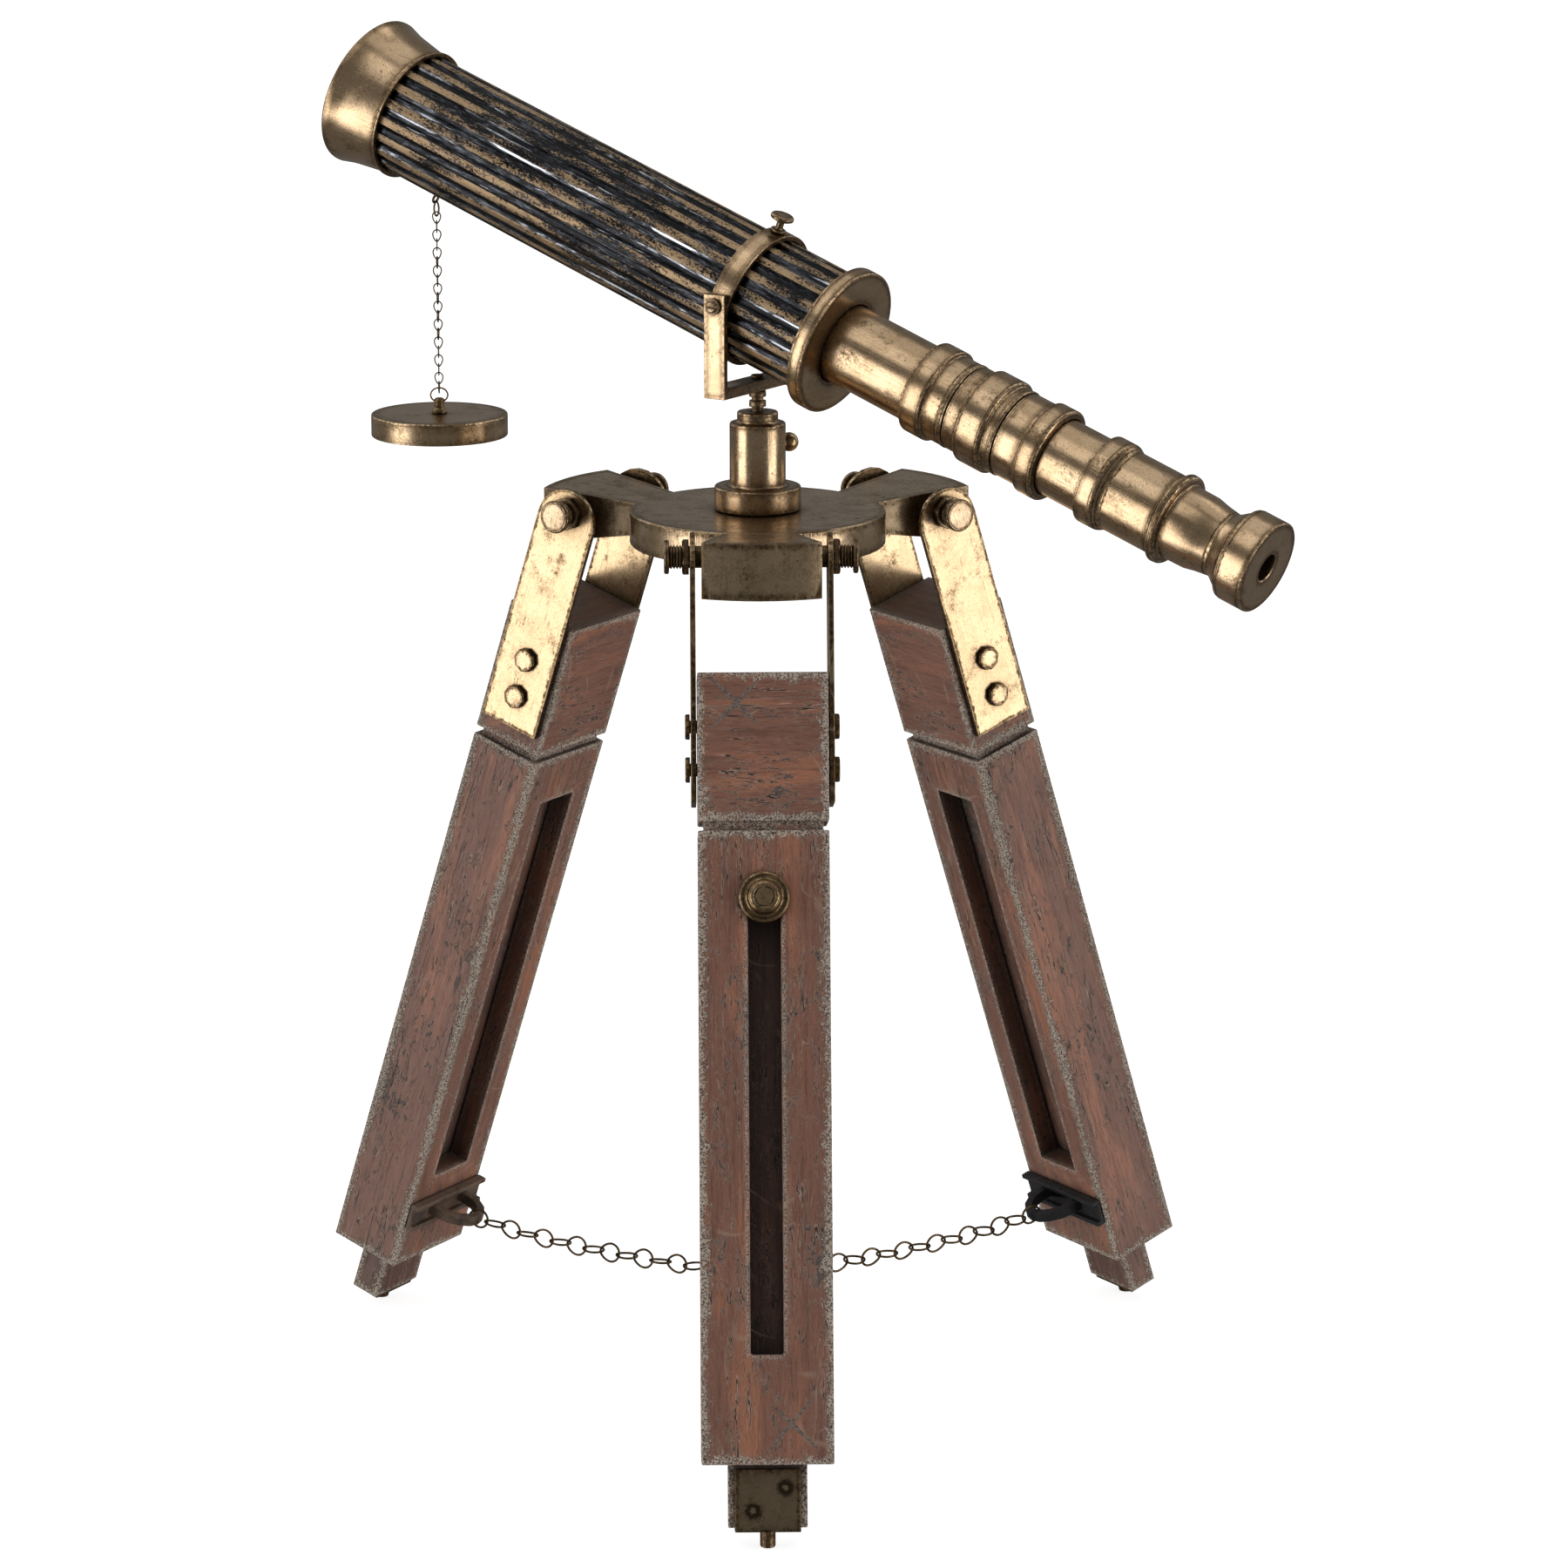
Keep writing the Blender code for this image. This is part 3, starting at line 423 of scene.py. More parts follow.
def wood(name, red, brown, cuts=(), leg=False):
    """Old stained wood along local Z, or across it on the top block, with pale chipped edges."""
    s = Shader(name)
    x, y, z = s.split(s.local)
    along = s.local
    if leg:
        node = s.add("ShaderNodeMix", data_type="VECTOR")
        middle = sum(GROOVE) / 2
        s.feed(node.inputs[0], s.step(z, middle - 0.001, middle + 0.001))
        s.feed(node.inputs[4], s.join(z, s.plus(y, 7.3), x))
        s.feed(node.inputs[5], s.local)
        along = node.outputs[1]
    broad = s.noise(1.0, 4.0, 0.6, s.stretch((3.6, 3.6, 0.60), source=along), 0.5)
    grain = s.noise(1.0, 7.0, 0.70, s.stretch((30, 30, 1.8), source=along), 0.3)
    fine = s.noise(1.0, 4.0, 0.7, s.stretch((95, 95, 9.0), (2, 5, 1), source=along))
    tone = s.mix(s.step(broad, 0.46, 0.66), brown, red)
    tone = s.mix(s.step(grain, 0.50, 0.66, 0.0, 0.55), tone, tuple(0.42 * c for c in brown))
    tone = s.mix(s.step(grain, 0.44, 0.32, 0.0, 0.18), tone, tuple(1.30 * c for c in red))
    tone = s.mix(s.step(fine, 0.50, 0.66, 0.0, 0.55), tone, tuple(0.35 * c for c in brown))
    # splits: thin dark lines along the grain, each with a pale lip
    spread = s.noise(1.0, 4.0, 0.65, s.stretch((3.2, 3.2, 1.5), (3, 1, 7), source=along))
    split = s.noise(1.0, 4.0, 0.62, s.stretch((13, 13, 0.9), (7, 2, 4), source=along), 0.8)
    split = s.away(split, 0.5)
    bare = s.step(spread, 0.46, 0.52)
    crack = s.times(s.step(split, 0.006, 0.014, 1.0, 0.0), bare)
    lip = s.times(s.step(split, 0.018, 0.028, 1.0, 0.0), bare)
    lip = s.minus(lip, crack, clamp=True)
    # chips: torn slate patches with pale outlines
    torn = s.noise(1.0, 7.0, 0.76, s.stretch((20, 20, 9.0), source=along), 0.7)
    thin = s.noise(1.0, 3.0, 0.6, s.stretch((2.6, 2.6, 1.2), (1, 9, 4), source=along))
    chips = s.plus(torn, s.swing(thin, 0.55))
    chip = s.step(chips, 0.608, 0.630)
    shell = s.minus(s.step(chips, 0.588, 0.602), chip, clamp=True)
    fleck = s.plus(s.noise(52.0, 5.0, 0.74), s.swing(spread, 0.25))
    fleck = s.step(fleck, 0.635, 0.670)
    # edges: a crumbly band of pale, grey and black specks
    edge = s.edge(0.10)
    near = s.step(edge, 0.90, 0.9985, 0.0, 0.16)
    shape = (*LEG_HALVES, LEG_TOP, *GROOVE, LEG_END) if leg else (*BOARD_HALVES, BOARD_END)
    near = s.least(near, timber_edges(s, x, y, z, *shape))
    crumb = s.noise(1.0, 6.0, 0.78, s.stretch((30, 30, 22)), 0.4)
    ragged = s.plus(near, s.swing(crumb, 0.32))
    ragged = s.plus(ragged, s.swing(thin, -0.16))
    worn = s.step(ragged, 0.034, 0.062, 1.0, 0.0)
    speck = s.noise(64.0, 3.0, 0.80)
    pale = s.mix(s.step(speck, 0.49, 0.55), (0.70, 0.59, 0.48), (0.055, 0.046, 0.040))
    pale = s.mix(s.step(s.noise(30.0, 4.0, 0.7), 0.55, 0.64), pale, (0.26, 0.155, 0.095))
    colour = s.mix(s.times(s.most(shell, lip), 0.55), tone, (0.60, 0.44, 0.34))
    colour = s.mix(s.times(fleck, 0.6), colour, (0.50, 0.37, 0.28))
    slate = s.mix(s.step(speck, 0.45, 0.6), (0.075, 0.070, 0.072), (0.17, 0.14, 0.12))
    colour = s.mix(s.times(chip, 0.85), colour, slate)
    colour = s.mix(s.times(crack, 0.92), colour, (0.028, 0.018, 0.014))
    colour = s.mix(s.times(worn, 0.92), colour, pale)
    # painted shade: darker in the groove, the slots and other hollows, from ambient occlusion, where shade falls
    colour = s.mix(s.step(s.crevice(0.55), 0.30, 0.74, 0.88, 0.0), colour, (0.030, 0.020, 0.016))
    if leg:
        top = s.step(z, LEG_TOP + 0.001, LEG_TOP + 0.010, 0.75, 0.0)
        colour = s.mix(top, colour, (0.085, 0.062, 0.048))
    rub = scratches(s, 0.9, 0.022, ((0.2, 0.4, 0.5), (1.0, -0.6, 0.9)), 0.54)
    colour = s.mix(s.times(rub, 0.45), colour, (0.52, 0.36, 0.26))
    height = s.minus(s.times(grain, 0.4), crack)
    height = s.minus(height, s.times(chip, 0.6))
    height = s.minus(height, s.times(worn, crumb))
    if cuts:
        gouge = 0.0
        face = s.step(y, 0.29, 0.30)
        for cut in cuts:
            gouge = s.most(gouge, s.times(crossing(s, x, z, *cut), face))
        grit = s.mix(s.step(speck, 0.45, 0.58), (0.27, 0.225, 0.185), (0.070, 0.062, 0.058))
        colour = s.mix(s.times(gouge, 0.92), colour, grit)
        height = s.minus(height, gouge)
    gloss = s.step(grain, 0.3, 0.7, 0.46, 0.60)
    gloss = s.blend(s.most(worn, chip), gloss, 0.80)
    normal = s.bump(height, 0.70, 0.010)
    return s.finish(Base_Color=colour, Roughness=gloss, Normal=normal)


def fluted_paint():
    """Glossy black paint: torn to tan brass on the lands, scuffed to slate hairlines in the flutes, with painted
    highlight lines of bright grey along the flute walls.
    """
    s = Shader("fluted_paint")
    x, y, _ = s.split(s.local)
    land = s.step(s.length(x, y), 0.4985, 0.5035)
    torn = s.noise(1.0, 7.0, 0.80, s.stretch((74, 74, 44)), 0.5)
    patch = s.noise(1.0, 5.0, 0.65, s.stretch((11.0, 11.0, 2.4), (4, 2, 6)))
    broad = s.noise(1.0, 2.0, 0.5, s.stretch((1.6, 1.6, 0.9), (1, 7, 3)))
    spread = s.swing(patch, 0.60)
    spread = s.plus(spread, s.swing(broad, 0.35))
    bare = s.times(s.step(s.plus(torn, spread), 0.478, 0.505), land)
    streak = s.noise(1.0, 6.0, 0.82, s.stretch((130, 130, 9.0)), 0.3)
    where = s.noise(1.0, 5.0, 0.65, s.stretch((7.5, 7.5, 2.6), (8, 1, 2)))
    hair = s.plus(streak, s.swing(where, 0.5))
    hair = s.step(hair, 0.53, 0.63)
    # painted highlight: bright, more reflective grey lines along both walls of each flute, standing in for the
    # reflection of the lamps
    turn = s.times(s.minus(s.math("ARCTAN2", y, x), FIRST_RIB), RIBS / tau)
    off = s.away(s.math("FRACT", turn), 0.5)
    wall = s.step(s.away(off, 0.20), 0.03, 0.08, 1.0, 0.0)
    run = s.noise(1.0, 4.0, 0.65, s.stretch((5.0, 5.0, 0.9), (3, 3, 8)))
    run = s.plus(run, s.swing(streak, 0.5))
    painted_highlight = s.times(wall, s.step(run, 0.545, 0.62))
    rub = scratches(s, 0.7, 0.018, ((0.5, 0.2, 0.3), (-0.7, 0.3, 0.2), (0.2, 0.9, 1.4)), 0.5)
    hair = s.most(hair, s.times(rub, 0.8))
    coat = s.mix(hair, (0.012, 0.012, 0.013), (0.105, 0.112, 0.125))
    # the painted highlight lines take a bright grey
    coat = s.mix(painted_highlight, coat, (0.55, 0.57, 0.61))
    tan = s.mix(s.step(torn, 0.50, 0.70), (0.50, 0.340, 0.190), (0.22, 0.140, 0.072))
    colour = s.mix(bare, coat, tan)
    metal = s.blend(bare, 1.0, 0.50)
    gloss = s.blend(bare, s.step(streak, 0.35, 0.7, 0.16, 0.30), 0.44)
    height = s.plus(s.times(streak, 0.35), s.times(bare, -0.5))
    normal = s.bump(height, 0.35, 0.007)
    return s.finish(Base_Color=colour, Metallic=metal, Roughness=gloss, Normal=normal)


def iron(name, base, rust, amount):
    s = Shader(name)
    blotch = s.noise(7.0, 6.0, 0.65)
    grit = s.noise(60.0, 4.0, 0.7)
    colour = s.mix(s.step(blotch, 0.62 - amount * 0.3, 0.72 - amount * 0.2), base, rust)
    colour = s.mix(s.step(grit, 0.50, 0.70, 0.0, 0.5), colour, tuple(0.35 * c for c in rust))
    rim = s.step(s.edge(0.02), 0.88, 0.98, 0.6, 0.0)
    colour = s.mix(rim, colour, tuple(min(1.0, 1.9 * c) for c in rust))
    normal = s.bump(s.plus(s.times(grit, 0.5), blotch), 0.6, 0.012)
    gloss = s.step(blotch, 0.3, 0.7, 0.50, 0.80)
    return s.finish(Base_Color=colour, Metallic=0.35, Roughness=gloss, Normal=normal)


def glass():
    s = Shader("lens_glass")
    smear = s.noise(5.0, 4.0, 0.6)
    return s.finish(
        Base_Color=(0.86, 0.92, 0.93),
        Roughness=s.step(smear, 0.3, 0.8, 0.02, 0.10),
        Transmission_Weight=0.9,
        IOR=1.5,
    )


LIGHT, DEEP = (0.670, 0.480, 0.295), (0.540, 0.375, 0.220)
CUTS = (
    (-0.400, 0.955, -0.025, 1.330, 0.019),
    (-0.040, 0.990, -0.390, 1.345, 0.018),
    (0.015, 6.450, 0.385, 6.800, 0.017),
    (0.345, 6.410, 0.000, 6.815, 0.017),
)
RED, BROWN = (0.470, 0.195, 0.110), (0.285, 0.132, 0.090)
MATERIALS = {
    "brass": brass("aged_brass", LIGHT, DEEP),
    "worn_brass": brass("worn_brass", (0.72, 0.52, 0.32), (0.60, 0.43, 0.25), 0.7, 0.25, 0.22, 0.12),
    "hardware": brass("hardware_brass", (0.62, 0.46, 0.30), (0.44, 0.31, 0.19), 0.9, 0.2, 0.24, 0.06),
    "head": brass("head_brass", (0.72, 0.53, 0.34), (0.60, 0.44, 0.27), 0.9, 0.40, 0.23, 0.12, head_edge, 0.62),
    "strap": brass(
        "strap_brass", (0.61, 0.438, 0.260), (0.55, 0.390, 0.225), 0.3, 0.15, 0.20, 0.05, strap_edge, 0.14
    ),
    "stud": brass("stud_brass", (0.66, 0.475, 0.29), (0.56, 0.40, 0.235), 0.3, 0.0, 0.20, 0.05, stud_edge),
    "dark_brass": brass("dark_brass", (0.62, 0.44, 0.25), (0.34, 0.235, 0.125), 1.2, 0.45, 0.24, 0.06),
    "bronze": brass(
        "shoe_bronze", (0.34, 0.255, 0.160), (0.24, 0.180, 0.115), 0.3, 0.10, 0.40, 0.06, shoe_edge, 0.4, SHOE_PITS
    ),
    "chain": brass("chain_brass", (0.24, 0.155, 0.075), (0.10, 0.065, 0.032), 1.2, 0.8, 0.38),
    "wood_front": wood("wood_front", RED, BROWN, CUTS, True),
    "wood": wood("wood_side", RED, BROWN, (), True),
    "board": wood("wood_board", (0.30, 0.135, 0.082), (0.16, 0.080, 0.058)),
    "paint": fluted_paint(),
    "rusty": iron("rusty_iron", (0.085, 0.060, 0.045), (0.20, 0.135, 0.095), 0.8),
    "iron": iron("black_iron", (0.018, 0.018, 0.019), (0.050, 0.043, 0.038), 0.2),
    "glass": glass(),
}


# ---------------------------------------------------------------- shapes
def mesh_from(bm, scale=U):
    bmesh.ops.remove_doubles(bm, verts=bm.verts, dist=1e-5)
    bmesh.ops.recalc_face_normals(bm, faces=bm.faces)
    bmesh.ops.scale(bm, vec=(scale,) * 3, verts=bm.verts)
    mesh = bpy.data.meshes.new("piece")
    bm.to_mesh(mesh)
    bm.free()
    return mesh


def level_faces(mesh, least):
    """Gives broad flat faces their own normal, so that the eased edges round them don't bend the light."""
    areas = {}
    keys = [tuple(round(c, 2) for c in face.normal) for face in mesh.polygons]
    for face, key in zip(mesh.polygons, keys):
        areas[key] = areas.get(key, 0.0) + face.area
    for face, key in zip(mesh.polygons, keys):
        if areas[key] > least * U * U:
            face.use_smooth = False


def piece(name, mesh, look, matrix, body, *nodes, crease=32.0):
    """One visible piece that rides a body, or none while it is blended between two."""
    obj = bpy.data.objects.new(name, mesh)
    bpy.context.scene.collection.objects.link(obj)
    obj.matrix_world = matrix
    mesh.materials.clear()
    mesh.materials.append(MATERIALS[look])
    mesh.shade_smooth()
    mesh.set_sharp_from_angle(angle=radians(crease))
    if look not in ("paint", "chain"):
        level_faces(mesh, 0.02 if look == "stud" else 0.08)
    if body:
        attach(obj, body)
    if nodes:
        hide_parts(*nodes)
    return obj


def paint_node(node, look):
    """A new material on a CAD piece that is seen as it is."""
    NODES[node].data.materials.clear()
    NODES[node].data.materials.append(MATERIALS[look])


def rounded(outline, radius, band, closed=True):
    """The outline as (r, z, rim): a corner of over 20 degrees becomes an arc with rim 1, between rims of 0."""
    points = [Vector(p) for p in outline]
    result = []
    count = len(points)
    for k, here in enumerate(points):
        if not closed and k in (0, count - 1):
            result.append((here.x, here.y, 0.0))
            continue
        before, after = points[k - 1] - here, points[(k + 1) % count] - here
        if before.length < 1e-6 or after.length < 1e-6:
            continue
        if pi - before.angle(after) < radians(20.0):
            result.append((here.x, here.y, 0.0))
            continue
        reach = min(radius, 0.40 * before.length, 0.40 * after.length)
        beside = []
        for way in (before, after):
            wide = min(reach + band, 0.47 * way.length)
            spot = here + way.normalized() * wide
            beside.append((spot.x, spot.y, max(0.0, 1.0 - (wide - reach) / band)))
        result.append(beside[0])
        p, q = here + before.normalized() * reach, here + after.normalized() * reach
        for f in (0.0, 0.33, 0.67, 1.0):
            spot = p * (1 - f) ** 2 + here * 2 * f * (1 - f) + q * f**2
            result.append((spot.x, spot.y, 1.0))
        result.append(beside[1])
    return result


def skin(bm, loops):
    """Faces between each loop of vertices and the next one."""
    for low, high in zip(loops, loops[1:]):
        for k in range(len(low)):
            n = (k + 1) % len(low)
            bm.faces.new((low[k], low[n], high[n], high[k]))


def ring(profile, steps=96, radius=0.006):
    """A hollow turned piece from a closed (radius, z) outline, its corners softened."""
    outline = rounded(profile, radius, 0.028)
    bm = bmesh.new()
    rim = bm.verts.layers.float.new("rim")
    loops = []
    for k in range(steps):
        c, s = cos(tau * k / steps), sin(tau * k / steps)
        loop = [bm.verts.new((r * c, r * s, z)) for r, z, _ in outline]
        for vert, (_, _, value) in zip(loop, outline):
            vert[rim] = value
        loops.append(loop)
    for k in range(steps):
        a, b = loops[k], loops[(k + 1) % steps]
        for j in range(len(outline)):
            n = (j + 1) % len(outline)
            bm.faces.new((a[j], b[j], b[n], a[n]))
    return mesh_from(bm)


def turned(profile, steps, radius=0.006, flats=()):
    """A solid turned piece. flats lists (low z, high z, number of flat sides)."""
    outline = rounded(profile, radius, 0.022, closed=False)
    bm = bmesh.new()
    rim = bm.verts.layers.float.new("rim")
    loops = []
    for r, z, value in outline:
        sides = 0
        for low, high, n in flats:
            if low <= z <= high and r > 0.086:
                sides = n
        loop = []
        for k in range(steps):
            a = tau * k / steps
            rr = r
            if sides:
                part = tau / sides
                rr = r * cos(part / 2) / cos(a % part - part / 2)
            loop.append(bm.verts.new((rr * cos(a), rr * sin(a), z)))
            loop[-1][rim] = value
        loops.append(loop)
    skin(bm, loops)
    bm.faces.new(list(reversed(loops[0])))
    bm.faces.new(loops[-1])
    return mesh_from(bm)


def sideways(mesh, axis="X"):
    mesh.transform(Matrix.Rotation(pi / 2, 4, "Y") if axis == "X" else Matrix.Rotation(-pi / 2, 4, "X"))
    return mesh


def refined(node, matrix, width, segments=3):
    """A copy of a CAD node in a local frame, with its sharp edges rounded."""
    mesh = NODES[node].data.copy()
    mesh.transform(matrix.inverted())
    bm = bmesh.new()
    bm.from_mesh(mesh)
    bmesh.ops.remove_doubles(bm, verts=bm.verts, dist=2e-6)
    bmesh.ops.dissolve_limit(bm, angle_limit=radians(1.0), verts=bm.verts, edges=bm.edges)
    bmesh.ops.recalc_face_normals(bm, faces=bm.faces)
    sharp = [e for e in bm.edges if len(e.link_faces) == 2 and e.calc_face_angle(0) > radians(28)]
    bmesh.ops.bevel(
        bm,
        geom=sharp,
        offset=width * U,
        offset_type="OFFSET",
        segments=segments,
        profile=0.5,
        affect="EDGES",
        clamp_overlap=True,
        miter_outer="ARC",
    )
    bm.to_mesh(mesh)
    bm.free()
    for attribute in list(mesh.attributes):
        if attribute.name == "custom_normal":
            mesh.attributes.remove(attribute)
    return mesh


def fluted_tube():
    """Rounded ribs round a hollow tube, with the objective's seat at the front."""
    root, front, back = 0.4862, -3.54, 0.7822
    flute = [(f, root + 0.0176 * ((0.5 - f) / 0.31) ** 2) for f in (0.19, 0.215, 0.25, 0.29, 0.34, 0.39, 0.44)]
    shape = [(-0.5, root)] + [(-f, r) for f, r in reversed(flute)]
    shape += [(-0.175, 0.5043), (-0.06, 0.5046), (0.06, 0.5046), (0.175, 0.5043)] + flute
    spots = [(FIRST_RIB + (k + f) * tau / RIBS, r) for k in range(RIBS) for f, r in shape]
    stations = [front] + [-3.5 + 4.25 * k / 34 for k in range(35)] + [back]
    bm = bmesh.new()
    loops = [[bm.verts.new((r * cos(a), r * sin(a), z)) for a, r in spots] for z in stations]
    for r, z in ((0.43, back), (0.43, -3.46), (0.455, -3.46), (0.455, front)):
        loops.append([bm.verts.new((r * cos(a), r * sin(a), z)) for a, _ in spots])
    skin(bm, loops + loops[:1])
    return mesh_from(bm)


def angles(count):
    return [tau * k / count for k in range(count)]


def link_points(long, wide, egg):
    """The centreline of one wire link in its own plane, wider at one end."""
    points = []
    for a in angles(26):
        x = cos(a)
        squash = 1.0 + egg * x
        points.append((long / 2 * x, wide / 2 * sin(a) * squash * (1 - 0.10 * x * x)))
    return points


def add_wire(bm, centres, radius, normal):
    """A closed wire along points that lie in a plane with that normal."""
    loops = []
    for k, centre in enumerate(centres):
        ahead = (centres[(k + 1) % len(centres)] - centres[k - 1]).normalized()
        out = ahead.cross(normal)
        loops.append([bm.verts.new(centre + (out * cos(a) + normal * sin(a)) * radius) for a in angles(8)])
    skin(bm, loops + loops[:1])


def with_wire(mesh, *wire):
    """Adds a closed wire to a mesh in metres."""
    bm = bmesh.new()
    bm.from_mesh(mesh)
    add_wire(bm, *wire)
    bm.to_mesh(mesh)
    bm.free()
    return mesh


def chain(route, links, long, wide, wire, side, egg, first=0):
    """Links spaced evenly along a route, each turned a quarter turn from the last."""
    lengths = [0.0]
    for a, b in zip(route, route[1:]):
        lengths.append(lengths[-1] + (b - a).length)
    bm = bmesh.new()
    random.seed(7)
    for k in range(links):
        at = lengths[-1] * (k + 0.5) / links
        j = max(i for i in range(len(route) - 1) if lengths[i] <= at)
        f = (at - lengths[j]) / (lengths[j + 1] - lengths[j])
        middle = route[j].lerp(route[j + 1], f)
        ahead = (route[j + 1] - route[j]).normalized()
        across = (side - ahead * side.dot(ahead)).normalized()
        if (k + first) % 2:
            across = ahead.cross(across)
        turn = Matrix.Rotation(radians(random.uniform(-9, 9)), 3, ahead)
        across = turn @ across
        normal = ahead.cross(across).normalized()
        spots = [middle + ahead * a + across * b for a, b in link_points(long, wide, egg)]
        add_wire(bm, spots, wire, normal)
    return mesh_from(bm)


IDENTITY = Matrix.Identity(4)
# Where the cap hangs: its chain's distance from the axis, and three heights.
CHAIN_SPOT = -HEADING * 3.125
CHAIN_TOP, BAIL_TOP, CAP_TOP = HEAD_TOP + 2.182, HEAD_TOP + 0.6845, HEAD_TOP + 0.471
# A leg's chain: the radius and height of its ends, how far it hangs below a straight line, and its leg's loop.
CHAIN_START, CHAIN_END, CHAIN_SAG = (2.735, HEAD_TOP - 6.402), (0.135, HEAD_TOP - 6.375), 0.055
LOOP_STATION, LOOP_DEPTH = 6.40, 0.622


def cap_chain():
    low = BAIL_TOP + GAP
    ends = [CHAIN_SPOT + UP * (low - 0.043), CHAIN_SPOT + UP * (CHAIN_TOP + 0.035)]
    side = Vector((1.0, 0.0, 0.0))
    route = [p + AXIS for p in (ends[0], ends[1] - UP * 0.100)]
    mesh = chain(route, links=20, long=0.096, wide=0.064, wire=0.0056, side=side, egg=0.30, first=1)
    middle = ends[1] - UP * 0.064 + AXIS
    hook = [(middle + UP * a + side * b) * U for a, b in link_points(0.118, 0.038, 0.0)]
    mesh = with_wire(mesh, hook, 0.0080 * U, UP.cross(side))
    obj = piece("cap_chain_links", mesh, "chain", IDENTITY, "cap_chain", "cap_chain")


def leg_chain(side, azimuth):
    """Links from the loop behind a leg to the ring in the middle, hanging a little."""
    out, _, normal, down, hinge = leg_axes(azimuth)
    (far, low), (near, high) = CHAIN_START, CHAIN_END
    points = []
    for k in range(1, 7):
        f = k / 7
        sag = 4 * CHAIN_SAG * f * (1 - f)
        points.append(out * (far - (far - near) * f) + UP * (low + (high - low) * f - sag))
    loop = hinge + down * LOOP_STATION - normal * LOOP_DEPTH
    inner = out * 0.048 + UP * high
    route = [loop] + points + [inner]
    dense = []
    for a, b in zip(route, route[1:]):
        dense += [a.lerp(b, f / 6) for f in range(6)]
    dense.append(route[-1])
    mesh = chain([p + AXIS for p in dense], links=17, long=0.186, wide=0.150, wire=0.0100, side=UP, egg=0.16)
    obj = piece(f"leg_chain_{side}_links", mesh, "chain", IDENTITY, None, f"leg_chain_{side}")
    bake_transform(obj, f"leg_{side}", "stand", start=tuple(world(loop)), end=tuple(world(inner)))


cap_chain()
for leg_side, leg_azimuth in LEGS.items():
    leg_chain(leg_side, leg_azimuth)


